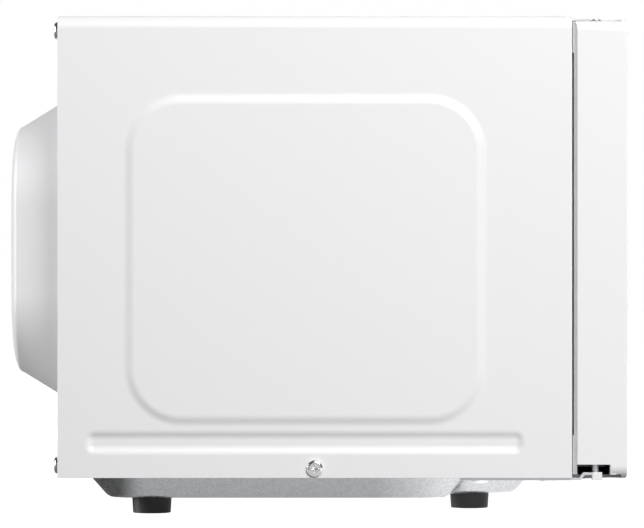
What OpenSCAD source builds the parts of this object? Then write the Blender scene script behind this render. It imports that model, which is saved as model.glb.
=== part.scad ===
// Compact countertop microwave oven, drawn in millimetres.
// X runs from the hinge side to the control side, Y from the front to the back, Z is up.
// The origin is on the table, under the middle of the whole oven.

/* [Cabinet] */
// Width of the cabinet over its two sides
body_w = 440; // [420:1:540]
// Depth of the cabinet from its front edge to its rear edge
body_d = 264; // [255:1:330]
// Height of the cabinet's top above the table
body_top = 258; // [256:1:320]
// Height of the cabinet's bottom edge above the table
body_bottom = 20.7; // [18:0.1:26]
// Thickness of the sheet steel
sheet = 0.8; // [0.6:0.1:1.0]
// Radius of the rolled top edges
roll_r = 6.7; // [4:0.1:9]
// How far the rear wall bulges out behind the cabinet
hump_out = 28; // [20:1:36]

/* [Cavity] */
// Inner width of the oven
cav_w = 302; // [290:1:310]
// Inner height of the oven
cav_h = 200; // [190:1:206]
// Height of the oven floor above the cabinet's bottom edge
floor_up = 19.3; // [18.5:0.1:24]
// Gap between the oven's rear wall and the cabinet's rear edge
cav_rear_gap = 12; // [10:0.5:20]

/* [Door] */
// Thickness of the door and of the control panel
door_t = 28; // [26:0.5:34]
// Gap between the door and the cabinet
door_gap = 0.5; // [0.4:0.1:1]
// Width of the door
door_w = 338; // [332:1:350]
// Gap around the door's edge at the control panel
side_gap = 0.8; // [0.5:0.1:1.5]
// Wall of the plastic mouldings
wall = 2.4; // [2:0.1:3]
// Draft of the door's top and bottom faces over its thickness
draft = 1.3; // [0:0.1:2]
// Radius of the hinge pins
pin_r = 1.8; // [1.5:0.1:2.2]
// Distance of the hinge axis from the cabinet's front edge
pin_out = 12.3; // [12.3:0.1:13]

/* [Turntable] */
// Diameter of the glass plate
plate_d = 245; // [220:1:246]
// Radius of the track that the rollers run on
track_r = 92; // [80:1:100]
// Radius of a roller
wheel_r = 6.7; // [6:0.1:7.5]

/* [Base] */
// Height of the rubber feet
foot_h = 8.2; // [7:0.1:12]
// Radius of a foot at its top
foot_r = 10.4; // [8:0.1:13]

/* [Controls] */
// Width of a key
key_w = 34; // [26:1:36]
// Height of a key
key_h = 14; // [10:1:17]
// Travel of a key
key_travel = 0.8; // [0.4:0.1:1.2]
// Travel of the door button
button_travel = 4.4; // [3:0.1:4.6]

/* [Hidden] */
$fn = 64;
eps = 0.01;
fit = 0.3;          // gap between pieces that move past each other
run = 0.1;          // radial gap of a pin in its bore
seam = 0.2;         // gap around a piece that is snapped into a frame

// main planes
total_d = door_t + door_gap + body_d + hump_out;
y_front = -total_d / 2;
y_door = y_front + door_t;              // rear face of the door
y_cab = y_door + door_gap;              // front edge of the cabinet
y_in = y_cab + sheet;                   // rear face of the front plate
y_back = y_cab + body_d;                // rear edge of the cabinet
y_rear = y_back - sheet;                // rear face of the rear panel
x_left = -body_w / 2;
x_right = body_w / 2;
cover_in = body_w / 2 - sheet;          // inner face of the cabinet's sides

// door and control panel
edge_in = 0.5;                          // the door's side sits this far inside the cabinet's
door_x0 = x_left + edge_in;
door_x1 = door_x0 + door_w;
panel_x0 = door_x1 + side_gap;
panel_x1 = x_right - edge_in;
panel_cx = (panel_x0 + panel_x1) / 2;
door_z0 = body_bottom - 1.6;
door_z1 = body_top - 0.5;
chamfer_y = 2.3;
chamfer_x = 3.2;

// oven
cav_cx = (door_x0 + door_x1) / 2;
cav_x0 = cav_cx - cav_w / 2;
cav_x1 = cav_cx + cav_w / 2;
cav_z0 = body_bottom + floor_up;
cav_z1 = cav_z0 + cav_h;
cav_y1 = y_back - cav_rear_gap;         // inner face of the oven's rear wall
bulge_out = hump_out - 8;               // the oven's own bulge beyond the cabinet's rear edge
bay_x0 = cav_x1 + sheet;                // the component bay starts at the oven's outer wall

// bulge in the rear wall
hump_w = 282;
hump_h = 162.6;
hump_z = body_bottom + 117.7;
hump_corner = 57;
hump_lean = 0.63;                       // how far the sides lean in for each step out
hump_turn = 4.5;                        // depth of the rounding at the rear face
hump_turn_in = 13;                      // and its width

// turntable
tt_y = (y_in + cav_y1) / 2;
plate_z = cav_z0 + 2 * wheel_r + 2 * fit;   // underside of the glass plate
shaft_r = 3.5;
motor_top = cav_z0 - sheet;

// hinge
pin_x = door_x0 + 5.5;
pin_y = y_cab - pin_out;
arm_t = 1.3;
arm_half = 3;
arm_low_z = body_bottom - arm_t;
arm_high_z = arm_low_z + 2.7;
upper_arm_z = door_z1 - 2.1;
upper_arm_t = 1;
sweep_r = sqrt(pow(pin_out, 2) + pow(arm_half + 1.5, 2)) + fit;
notch_front = 7.4;
notch_back = 9.7;
notch_top = body_bottom + 6.9;
pin_len = 12;

// base pan
pan_z = foot_h;
pan_side = 38;
pan_front_side = 82;
pan_back = body_d - 240.6;
pan_front = 25.2;
pan_jog = 62;
pan_slope = 11;
pan_rim_in = 10.1;                      // the bowl's rim starts this far inside the rear edge
foot_back_in = 50;
foot_front_in = 93;
foot_back_y = y_cab + body_d - 46.3;
foot_front_y = y_cab + 49.2;

// side panel pressings
press_y0 = y_cab + 44.8;
press_y1 = y_back - 35.1;
press_z0 = body_bottom + 27.6;
press_z1 = body_top - 41;
press_r = 28.5;
press_bevel = 3.4;
press_out = 1.3;
groove_y0 = y_cab + 25.1;
groove_y1 = y_back - 14.9;
groove_z0 = body_bottom + 13;
groove_z1 = groove_z0 + 10.5;
rim_flange = groove_z0 - body_bottom - 1;  // the pan's edge ends below the groove
groove_depth = 1.3;
groove_bevel = 2.6;
top_press_y0 = y_cab + 51.5;
top_press_y1 = y_back - 44.1;

// screws
screw_r = 1.7;
screw_head_r = 4.4;
screw_head_h = 2;
side_screw_y = y_cab + 132;
side_screw_z = body_bottom + 5.1;
rear_flange = 14;
rear_screw_in = 7;
rear_screw_zs = [body_bottom + 6.3, body_top - 7.5];
hinge_screw_ys = [y_cab + 11.5, y_cab + 46.8];
hinge_screw_x = x_left + 13;

// latch
hook_t = 3;
hook_x0 = door_x1 - 8;
hook_zs = [body_bottom + 55.3, body_bottom + 175.3];
hook_h = 8;
hook_nose = 4;
hook_reach = 18;
hook_bar_y0 = y_door - 14;
hook_bar_y1 = y_door - 6;
lever_arm = 16;                          // pivot to the button's stem
lever_lift_arm = 11;                     // pivot to the hook
hook_lift = button_travel * lever_lift_arm / lever_arm;
slot_x0 = hook_x0 - 0.7;
slot_w = hook_t + 2.7;
latch_x0 = bay_x0 + 3.5;
latch_w = 17;
latch_d = 32;
latch_z0 = body_bottom + 31;
latch_z1 = body_bottom + 202;
lever_y = y_cab + 5.75;
lever_z = body_bottom + 41.3;
lever_r = 3;
lever_foot_x = hook_x0 + 18.5;
lever_foot_w = 6;

// controls
key_rows = 4;
key_cols = 2;
key_pitch_x = 43;
key_pitch_z = 24;
key_z0 = body_bottom + 83.3;
button_w = 76;
button_h = 28;
button_z = body_bottom + 27.3;
display_w = 76;
display_h = 36;
display_z = body_bottom + 193.3;
board_t = 1.6;
board_half = display_w / 2 + 8;
board_y = y_front + 19;
bay_open_x0 = panel_x0 + 7;
bay_open_x1 = panel_x1 - 9;
bay_open_z0 = body_bottom + 16;
bay_open_z1 = body_bottom + 212;

// window
glass_t = 3.2;
glass_x0 = door_x0 + 27;
glass_x1 = door_x1 - 23;
glass_z0 = door_z0 + 27;
glass_z1 = door_z1 - 27;
glass_r = 10;
glass_lip = 6;

// inner door
choke_w = 17;
choke_d = 17;
skin_t = 2;                              // thickness of the choke cover
inner_x0 = pin_x + 5;
inner_x1 = hook_x0 - 1.5;
inner_z0 = door_z0 + 7;
inner_z1 = door_z1 - 7;
screen_x0 = inner_x0 + choke_w;
screen_x1 = inner_x1 - choke_w;
screen_z0 = inner_z0 + choke_w;
screen_z1 = inner_z1 - choke_w;

// fan, magnetron and duct
fan_x = bay_x0 + 58;
fan_z = body_bottom + 168;
fan_r = 44;
shroud_d = 28;
wg_w = 26;
mag_x0 = bay_x0 + wg_w;
mag_l = 55;
mag_y0 = y_cab + 62;
mag_w = 80;
mag_z0 = body_bottom + 137;
mag_h = 66;
mag_cy = mag_y0 + mag_w / 2;
mag_cz = mag_z0 + mag_h / 2;
anode_r = 18;
antenna_r = 7.5;

// transformer and capacitor
core_x = bay_x0 + 41;
core_y = y_cab + 132;
core_z = pan_z + sheet;
core_w = 76;
core_h = 62;
core_stack = 46;
cap_x = x_right - 31;
cap_y = y_cab + 42;
cap_z = body_bottom + sheet;
cap_h = 74;
gland_x = x_right - 34;
gland_z = body_bottom + 44;
gland_bore_r = 3.75;

// ---- shapes that repeat ----

// a box given by its low and high corners
module box(lo, hi) { translate(lo) cube(hi - lo); }

// a rounded rectangle about the origin
module round_rect(w, h, r) {
    square([w - 2 * r, h], center = true);
    square([w, h - 2 * r], center = true);
    for (sx = [-1, 1], sz = [-1, 1]) translate([sx * (w / 2 - r), sz * (h / 2 - r)]) circle(r);
}

// a plate in the XZ plane between two heights of y, drawn from a flat outline
module upright(y0, y1) {
    translate([0, y1, 0]) rotate([90, 0, 0]) linear_extrude(y1 - y0) children();
}

// a plate in the YZ plane between two places in x, drawn from an outline in (y, z)
module sideways(x0, x1) {
    translate([x0, 0, 0]) rotate([90, 0, 90]) linear_extrude(x1 - x0) children();
}

// a rounded plate standing in the XZ plane
module round_plate(x0, x1, z0, z1, r, y0, y1) {
    upright(y0, y1) translate([(x0 + x1) / 2, (z0 + z1) / 2]) round_rect(x1 - x0, z1 - z0, r);
}

// outline of the cabinet seen from the front, taken in by an offset
module cover_outline(in, low = 0) {
    w = body_w - 2 * in;
    r = roll_r - in;
    top = body_top - in;
    translate([-w / 2, body_bottom + low]) square([w, top - r - body_bottom - low]);
    translate([-w / 2 + r, body_bottom + low]) square([w - 2 * r, top - body_bottom - low]);
    for (s = [-1, 1]) translate([s * (w / 2 - r), top - r]) circle(r);
}

// a coil of round wire along +Z, as one swept tube
function coil_point(r, pitch, a) = [r * cos(a), r * sin(a), pitch * a / 360];
module coil_spring(r, wire, turns, length) {
    sides = 8;
    per_turn = 14;
    rings = turns * per_turn;
    pitch = (length - 2 * wire) / turns;
    points = [for (i = [0:rings]) let (a = 360 * i / per_turn, c = coil_point(r, pitch, a))
        for (k = [0:sides - 1]) let (b = 360 * k / sides)
            [c[0] + wire * cos(b) * cos(a), c[1] + wire * cos(b) * sin(a), c[2] + wire + wire * sin(b)]];
    walls = [for (i = [0:rings - 1], k = [0:sides - 1])
        let (p = i * sides + k, q = i * sides + (k + 1) % sides) each
            [[p, q, q + sides], [p, q + sides, p + sides]]];
    polyhedron(points, concat(walls, [[for (k = [sides - 1:-1:0]) k]],
        [[for (k = [0:sides - 1]) rings * sides + k]]));
}

// a pressed field with sloping edges, standing up from z = 0
module raised_field(l, w, r, bevel, h) {
    hull() {
        linear_extrude(eps) round_rect(l, w, r);
        translate([0, 0, h - eps]) linear_extrude(eps) round_rect(l - 2 * bevel, w - 2 * bevel, r - bevel);
    }
}

// the domed bulge behind the cabinet, taken in by an offset
module dome(in) {
    straight = hump_out - in - hump_turn;
    steps = 6;
    hull() {
        round_plate(hump_x0() + in, hump_x1() - in, hump_z - hump_h / 2 + in, hump_z + hump_h / 2 - in,
            hump_corner - in, y_rear - sheet - eps, y_back);
        for (i = [0:steps]) let (a = 90 * i / steps, d = straight + hump_turn * sin(a),
            inset = in + straight * hump_lean + hump_turn_in * (1 - cos(a)))
            round_plate(hump_x0() + inset, hump_x1() - inset, hump_z - hump_h / 2 + inset,
                hump_z + hump_h / 2 - inset, hump_corner - min(inset, 38), y_back + d - 0.02, y_back + d);
    }
}
function hump_x0() = cav_cx - hump_w / 2;
function hump_x1() = cav_cx + hump_w / 2;

// a pan-head screw pointing along -Z, its head standing on z = 0
module pan_screw(length) {
    difference() {
        union() {
            cylinder(h = screw_head_h * 0.6, r = screw_head_r);
            translate([0, 0, screw_head_h * 0.6]) cylinder(h = screw_head_h * 0.4, r1 = screw_head_r,
                r2 = 2.9);
        }
        for (a = [0, 90]) rotate([0, 0, a]) translate([-2.4, -0.45, screw_head_h - 1]) cube([4.8, 0.9, 2]);
    }
    translate([0, 0, -length]) cylinder(h = length + eps, r = screw_r);
}

// places of the case screws
module at_side_screws() {
    for (s = [-1, 1]) translate([s * body_w / 2, side_screw_y, side_screw_z]) rotate([0, s * 90, 0])
        children();
}
module at_rear_screws() {
    for (s = [-1, 1], z = rear_screw_zs)
        translate([s * (body_w / 2 - rear_screw_in), y_back, z]) rotate([-90, 0, 0]) children();
}

// ---- casing ----

// the raised field on one side, moved in by an offset
module side_field(s, in) {
    translate([s * (body_w / 2 - in), (press_y0 + press_y1) / 2, (press_z0 + press_z1) / 2])
        rotate([0, s * 90, 0]) rotate([0, 0, 90])
            raised_field(press_y1 - press_y0, press_z1 - press_z0, press_r, press_bevel, press_out);
}

// the raised field on the top
module top_field(in) {
    translate([0, (top_press_y0 + top_press_y1) / 2, body_top - in])
        raised_field(body_w - 90, top_press_y1 - top_press_y0, press_r, press_bevel, press_out);
}

// the long groove along the bottom of a side, as the space that is pressed in
module groove(s, in, y0, y1) {
    half = (groove_z1 - groove_z0) / 2;
    translate([s * (body_w / 2 - in), y1, groove_z0 + half]) rotate([90, 0, 0]) linear_extrude(y1 - y0)
        polygon([[s * 0.01, -half], [s * 0.01, half], [-s * groove_depth, half - groove_bevel],
            [-s * groove_depth, groove_bevel - half]]);
}

module cabinet_cover() color([0.91, 0.91, 0.92]) difference() {
    union() {
        difference() {
            union() {
                upright(y_cab, y_back) cover_outline(0);
                for (s = [-1, 1]) side_field(s, 0);
                top_field(0);
            }
            upright(y_cab - 1, y_back - sheet) cover_outline(sheet, -1);
            box([-body_w / 2 + rear_flange, y_back - 2 * sheet, body_bottom - 1],
                [body_w / 2 - rear_flange, y_back + 1, body_top - rear_flange]);
            for (s = [-1, 1]) side_field(s, sheet);
            top_field(sheet);
        }
        for (s = [-1, 1]) groove(s, sheet, groove_y0 - sheet, groove_y1 + sheet);
    }
    for (s = [-1, 1]) groove(s, 0, groove_y0, groove_y1);
    at_side_screws() cylinder(h = 20, r = screw_r + run, center = true);
    at_rear_screws() cylinder(h = 8, r = screw_r + run, center = true);
}

module rear_panel() color([0.91, 0.91, 0.92]) difference() {
    union() {
        upright(y_rear - sheet, y_rear) cover_outline(sheet);
        dome(0);
    }
    dome(sheet);
    at_rear_screws() cylinder(h = 8, r = screw_r, center = true);
    for (i = [0:7], j = [0:2]) vent_slot(fan_x - 42 + i * 12, fan_z - 26 + j * 26);
    translate([gland_x, y_rear, gland_z]) rotate([90, 0, 0]) cylinder(h = 10, r = 8, center = true);
}

// one upright vent slot in the rear panel
module vent_slot(x, z) {
    translate([x - 2, y_rear - 2, z - 9]) cube([4, 4, 18]);
}

// outline of the pan's bowl at a height, seen from above; u is 0 at the rim and 1 at the bottom
module bowl_back(u, in, z) {
    x = body_w / 2 - pan_side + pan_slope * (1 - u) - in;
    y0 = y_cab + pan_jog - pan_slope * (1 - u) + in;
    y1 = y_back - pan_back + (pan_back - pan_rim_in) * (1 - u) - in;
    translate([0, (y0 + y1) / 2, z]) linear_extrude(eps) round_rect(2 * x, y1 - y0, 16);
}
module bowl_front(u, in, z) {
    x = body_w / 2 - pan_front_side + pan_slope * (1 - u) - in;
    y0 = y_cab + pan_front - (pan_front - pan_rim_in - 2.3) * (1 - u) + in;
    y1 = y_cab + pan_jog + 40;
    translate([0, (y0 + y1) / 2, z]) linear_extrude(eps) round_rect(2 * x, y1 - y0, 14);
}
module bowl(in) {
    up = in > 0 ? sheet : 0;
    top = body_bottom + sheet + (in > 0 ? eps * 2 : 0);
    hull() { bowl_back(1, in, pan_z + up); bowl_back(0, in, top - eps); }
    hull() { bowl_front(1, in, pan_z + up); bowl_front(0, in, top - eps); }
}

module base_pan() color([0.66, 0.67, 0.68]) difference() {
    union() {
        box([-cover_in, y_in, body_bottom], [cover_in, y_rear - sheet, body_bottom + sheet]);
        for (s = [-1, 1]) box([min(s * cover_in, s * (cover_in - sheet)), y_in, body_bottom],
            [max(s * cover_in, s * (cover_in - sheet)), y_rear - sheet, body_bottom + rim_flange]);
        bowl(0);
    }
    bowl(sheet);
    at_side_screws() cylinder(h = 8, r = screw_r, center = true);
    at_feet() cylinder(h = 10, r = 3, center = true);
    for (y = hinge_screw_ys) translate([hinge_screw_x, y, body_bottom]) cylinder(h = 6, r = screw_r,
        center = true);
}

// places of the four feet, on the pan's bottom
module at_feet() {
    for (s = [-1, 1]) {
        translate([s * (body_w / 2 - foot_back_in), foot_back_y, pan_z]) children();
        translate([s * (body_w / 2 - foot_front_in), foot_front_y, pan_z]) children();
    }
}

module rubber_feet() color([0.12, 0.12, 0.12]) at_feet() {
    translate([0, 0, -foot_h]) cylinder(h = foot_h, r1 = foot_r - 0.5, r2 = foot_r);
    cylinder(h = sheet, r = 3);
    translate([0, 0, sheet]) cylinder(h = 3, r1 = 3.8, r2 = 2.4);
}

module front_plate() color([0.88, 0.88, 0.89]) difference() {
    upright(y_cab, y_in) cover_outline(sheet);
    box([cav_x0, y_cab - 1, cav_z0], [cav_x1, y_in + 1, cav_z1]);
    box([bay_open_x0, y_cab - 1, bay_open_z0], [bay_open_x1, y_in + 1, bay_open_z1]);
    for (z = hook_zs) hook_slot(z, y_cab - 1, y_in + 1);
    box([pin_x - 1.5 - fit, y_cab - 1, upper_arm_z - fit], [pin_x + 4.5 + fit, y_in + 1,
        upper_arm_z + upper_arm_t + fit]);
}

// the opening that a door hook passes through
module hook_slot(z, y0, y1) {
    box([slot_x0, y0, z - hook_nose - fit - 0.4], [slot_x0 + slot_w, y1, z + hook_h + hook_lift + 0.4]);
}

// ---- oven ----

// the inside of the oven with its bulged rear wall, taken out by an offset
module oven_space(out) {
    box([cav_x0 - out, y_in - (out > 0 ? 0 : 1), cav_z0 - out], [cav_x1 + out, cav_y1 + out, cav_z1 + out]);
    hull() {
        round_plate(hump_x0() + 6 - out, hump_x1() - 6 + out, hump_z - hump_h / 2 + 6 - out,
            hump_z + hump_h / 2 - 6 + out, 40, cav_y1 - 1, cav_y1);
        round_plate(hump_x0() + 24 - out, hump_x1() - 24 + out, hump_z - hump_h / 2 + 24 - out,
            hump_z + hump_h / 2 - 24 + out, 30, y_back + bulge_out - 9 + out - eps,
                y_back + bulge_out - 9 + out);
        round_plate(hump_x0() + 44 - out, hump_x1() - 44 + out, hump_z - hump_h / 2 + 40 - out,
            hump_z + hump_h / 2 - 40 + out, 20, y_back + bulge_out + out - eps, y_back + bulge_out + out);
    }
}

module oven_cavity() color([0.86, 0.86, 0.85]) difference() {
    oven_space(sheet);
    oven_space(0);
    translate([cav_cx, tt_y, cav_z0]) cylinder(h = 10, r = 6, center = true);
    box([cav_x1 - 1, mag_cy - 26, mag_cz - 22], [cav_x1 + 2, mag_cy + 18, mag_cz + 22]);
    for (i = [0:3], j = [0:2]) translate([cav_x1, lamp_y() - 9 + i * 6, lamp_z() - 6 + j * 6])
        rotate([0, 90, 0]) cylinder(h = 6, r = 1.4, center = true);
}
function lamp_y() = mag_y0 + mag_w + 24;
function lamp_z() = body_bottom + 96;

module mica_cover() color([0.72, 0.66, 0.55])
    box([cav_x1 - 0.5, mag_cy - 36, mag_cz - 32], [cav_x1, mag_cy + 28, mag_cz + 32]);

module waveguide() color([0.7, 0.71, 0.72]) difference() {
    union() {
        box([bay_x0, mag_cy - 48, mag_cz - 30], [bay_x0 + wg_w, mag_cy + 34, mag_cz + 30]);
        box([bay_x0, mag_cy - 56, mag_cz - 38], [bay_x0 + 1, mag_cy + 42, mag_cz + 38]);
    }
    box([bay_x0 - 1, mag_cy - 47, mag_cz - 29], [bay_x0 + wg_w - 1, mag_cy + 33, mag_cz + 29]);
    translate([bay_x0 + wg_w, mag_cy, mag_cz]) rotate([0, 90, 0]) cylinder(h = 6, r = antenna_r + 2,
        center = true);
}

// a square ring around the anode, open towards the fan
module magnetron_yoke() color([0.62, 0.63, 0.65]) difference() {
    box([mag_x0, mag_y0, mag_z0], [mag_x0 + mag_l, mag_y0 + mag_w, mag_z0 + mag_h]);
    box([mag_x0 + 1.5, mag_y0 - 1, mag_z0 + 1.5], [mag_x0 + mag_l - 1.5, mag_y0 + mag_w + 1,
        mag_z0 + mag_h - 1.5]);
    translate([mag_x0, mag_cy, mag_cz]) rotate([0, 90, 0]) cylinder(h = 8, r = 9.5, center = true);
    translate([mag_x0 + mag_l, mag_cy, mag_cz]) rotate([0, 90, 0]) cylinder(h = 8, r = 9.5, center = true);
}

module magnetron_fins() color([0.8, 0.81, 0.82]) for (i = [0:5]) translate([mag_x0 + 10 + i * 6.6,
    mag_cy, mag_cz])
    rotate([0, 90, 0]) difference() {
        linear_extrude(0.6) square([mag_h - 3, mag_w - 14], center = true);
        translate([0, 0, -1]) cylinder(h = 3, r = anode_r);
    }

module magnetron_tube() color([0.75, 0.72, 0.66]) translate([mag_x0, mag_cy, mag_cz]) rotate([0, 90, 0]) {
    translate([0, 0, 1.5]) cylinder(h = mag_l - 3, r = anode_r);
    translate([0, 0, -14]) cylinder(h = 16, r = antenna_r);
    translate([0, 0, -14]) sphere(antenna_r);
    translate([0, 0, mag_l - 2]) cylinder(h = 12, r = 7);
}

module filter_box() color([0.68, 0.69, 0.7]) {
    x = mag_x0 + mag_l;
    difference() {
        box([x, mag_y0 + 8, mag_z0 + 6], [x + 24, mag_y0 + mag_w - 8, mag_z0 + mag_h - 6]);
        box([x - 1, mag_y0 + 9, mag_z0 + 7], [x + 23, mag_y0 + mag_w - 9, mag_z0 + mag_h - 7]);
    }
    box([x + 4, mag_y0 + 4, mag_cz - 8], [x + 20, mag_y0 + 8, mag_cz + 8]);
    for (s = [-1, 1]) box([x + 11, mag_y0 - 4, mag_cz + s * 4 - 0.4], [x + 17, mag_y0 + 4,
        mag_cz + s * 4 + 0.4]);
}

// ---- high voltage ----

leg_w = 24;
window_w = 14;
window_h = 38;
module transformer_core() color([0.42, 0.38, 0.34]) translate([core_x, core_y, core_z]) difference() {
    union() {
        translate([-core_stack / 2, -core_w / 2, 1.5]) cube([core_stack, core_w, core_h]);
        translate([-36, -core_w / 2 - 6, 0]) cube([72, core_w + 12, 1.5]);
    }
    for (s = [-1, 1]) translate([-core_stack, s * (leg_w / 2 + window_w / 2) - window_w / 2,
        1.5 + (core_h - window_h) / 2])
        cube([core_stack * 2, window_w, window_h]);
    for (sx = [-1, 1], sy = [-1, 1]) translate([sx * 31, sy * (core_w / 2 - 2), -1]) cylinder(h = 5,
        r = 2.2);
}

module winding(z, h) {
    out = window_w - 1;
    translate([0, 0, z]) linear_extrude(h) difference() {
        round_rect(core_stack + 2 * out, leg_w + 2 * out, 8);
        square([core_stack, leg_w], center = true);
    }
}
module transformer_windings() color([0.72, 0.36, 0.16]) translate([core_x, core_y,
    core_z + 1.5 + (core_h - window_h) / 2]) {
    winding(0.5, 15);
    winding(19.5, 18);
}

module can_outline(in = 0) {
    square([20, 30 - 2 * in], center = true);
    for (s = [-1, 1]) translate([s * 10, 0]) circle(15 - in);
}
module hv_capacitor() color([0.78, 0.79, 0.8]) translate([cap_x, cap_y, cap_z]) rotate([0, 0, 90]) {
    linear_extrude(cap_h) can_outline();
    for (s = [-1, 1]) translate([s * 9, 0, cap_h]) {
        cylinder(h = 4, r = 4);
        translate([-3, -0.4, 4]) cube([6, 0.8, 9]);
    }
}
module capacitor_clamp() color([0.7, 0.71, 0.72]) translate([cap_x, cap_y, cap_z]) rotate([0, 0, 90]) {
    translate([0, 0, 26]) linear_extrude(14) difference() {
        can_outline(-1);
        can_outline();
    }
    translate([-8, 16 - eps, 0]) cube([16, 1, 40]);
    translate([-8, 16, 0]) cube([16, 12, 1]);
}
module hv_diode() color([0.1, 0.1, 0.1]) translate([cap_x - 9, cap_y - 9, cap_z + cap_h + 16])
    rotate([-90, 0, 0]) {
    cylinder(h = 18, r = 3.5);
    translate([0, 0, -1]) cylinder(h = 20, r = 0.6);
}

// ---- cooling and electrics ----

module fan_shroud() color([0.2, 0.21, 0.22]) translate([fan_x, 0, fan_z]) difference() {
    upright(y_rear - sheet - shroud_d, y_rear - sheet) square(2 * fan_r + 10, center = true);
    upright(y_rear - sheet - shroud_d - 1, y_rear) circle(fan_r + 1.5);
}

// the motor stands on four arms in front of the shroud
module fan_motor() color([0.45, 0.43, 0.4]) translate([fan_x, y_rear - sheet - shroud_d, fan_z])
    rotate([90, 0, 0]) {
    difference() {
        linear_extrude(3) difference() {
            union() {
                for (a = [45, 135]) rotate(a) square([2 * fan_r + 24, 8], center = true);
                circle(20);
            }
            for (a = [0, 90]) rotate(a) translate([fan_r + 5, -fan_r]) square([40, 2 * fan_r]);
            for (a = [180, 270]) rotate(a) translate([fan_r + 5, -fan_r]) square([40, 2 * fan_r]);
        }
        translate([0, 0, -1]) cylinder(h = 20, r = 1.5 + run);
    }
    difference() {
        translate([-24, -20, 3]) cube([48, 52, 14]);
        translate([0, 0, 2]) cylinder(h = 20, r = 1.5 + run);
    }
    translate([-14, 22, 1]) cube([28, 14, 18]);
}

module fan_blade() color([0.85, 0.86, 0.86]) translate([fan_x, y_rear - sheet - 5, fan_z]) rotate([90,
    0, 0]) {
    cylinder(h = 18, r = 11);
    cylinder(h = shroud_d + 4, r = 1.5);
    for (i = [0:6]) rotate([0, 0, i * 360 / 7]) translate([9, 0, 9]) rotate([32, 0, 0])
        translate([0, -12, -0.6]) cube([fan_r - 11, 24, 1.2]);
}

module air_duct() color([0.24, 0.25, 0.26]) {
    y0 = mag_y0 + mag_w;
    y1 = y_rear - sheet - shroud_d - 24;
    difference() {
        box([mag_x0 + 2, y0, mag_z0], [mag_x0 + mag_l, y1, mag_z0 + mag_h]);
        box([mag_x0 + 3.5, y0 - 1, mag_z0 + 1.5], [mag_x0 + mag_l - 1.5, y1 + 1, mag_z0 + mag_h - 1.5]);
    }
}

module lamp_holder() color([0.75, 0.75, 0.73]) difference() {
    union() {
        box([bay_x0, lamp_y() - 18, lamp_z() - 14], [bay_x0 + 1, lamp_y() + 18, lamp_z() + 14]);
        box([bay_x0, lamp_y() - 14, lamp_z() - 15], [bay_x0 + 34, lamp_y() + 14, lamp_z() - 14]);
        translate([bay_x0 + 24, lamp_y(), lamp_z()]) rotate([0, 90, 0]) cylinder(h = 12, r = 11);
        box([bay_x0 + 24, lamp_y() - 8, lamp_z() - 14.5], [bay_x0 + 34, lamp_y() + 8, lamp_z() - 6]);
    }
    translate([bay_x0 - 1, lamp_y(), lamp_z()]) rotate([0, 90, 0]) cylinder(h = 3, r = 11);
    translate([bay_x0 + 22, lamp_y(), lamp_z()]) rotate([0, 90, 0]) cylinder(h = 12, r = 8);
}
module oven_lamp() color([0.95, 0.94, 0.9]) translate([bay_x0 + 2, lamp_y(), lamp_z()]) rotate([0, 90, 0]) {
    translate([0, 0, 9]) sphere(9);
    translate([0, 0, 9]) cylinder(h = 13, r = 7.5);
    translate([0, 0, 20]) cylinder(h = 12, r = 8);
}

module thermal_cutout() color([0.16, 0.16, 0.17]) translate([bay_x0, mag_y0 + mag_w + 22, mag_cz])
    rotate([0, 90, 0]) {
    cylinder(h = 1, r = 11);
    cylinder(h = 10, r = 7.5);
    for (s = [-1, 1]) translate([s * 3.5 - 0.4, -3, 9]) cube([0.8, 6, 10]);
}

module noise_filter() color([0.15, 0.4, 0.22]) {
    x = bay_x0 + 6;
    z = body_bottom + 40;
    y = y_rear - sheet - 5.6;
    box([x, y, z], [x + 40, y + 1.6, z + 66]);
    for (dx = [4, 36], dz = [4, 62]) translate([x + dx, y + 1.6, z + dz]) rotate([-90, 0, 0])
        cylinder(h = 4, r = 2.5);
    translate([x + 13, y, z + 50]) rotate([90, 0, 0]) difference() {
        cylinder(h = 12, r = 11);
        translate([0, 0, 1]) cylinder(h = 12, r = 5);
    }
    box([x + 6, y - 14, z + 8], [x + 32, y, z + 16]);
    translate([x + 8, y - 5, z + 28]) rotate([0, 90, 0]) cylinder(h = 22, r = 3);
    for (dx = [6, 26]) box([x + dx, y - 8, z + 24], [x + dx + 5, y, z + 32]);
}

module cord_gland() color([0.1, 0.1, 0.1]) translate([gland_x, y_rear, gland_z]) rotate([-90, 0, 0])
    difference() {
    union() {
        cylinder(h = 6, r1 = 11, r2 = 8.5);
        translate([0, 0, -sheet - 5]) cylinder(h = 6 + sheet, r = 8);
        translate([0, 0, -sheet - 3]) cylinder(h = 3, r = 9.5);
    }
    translate([0, 0, -20]) cylinder(h = 40, r = gland_bore_r);
}

// ---- turntable ----

module turntable_motor() color([0.8, 0.8, 0.78]) translate([cav_cx, tt_y, 0]) difference() {
    union() {
        translate([0, 0, motor_top - 15]) cylinder(h = 15, r = 24);
        translate([0, 0, motor_top - 4]) linear_extrude(4) square([62, 14], center = true);
        translate([-8, 20, motor_top - 14]) cube([16, 14, 10]);
    }
    translate([0, 0, motor_top - 9]) cylinder(h = 20, r = shaft_r + run / 2);
    for (s = [-1, 1]) translate([s * 27, 0, motor_top - 6]) cylinder(h = 10, r = 1.6);
}

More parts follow.
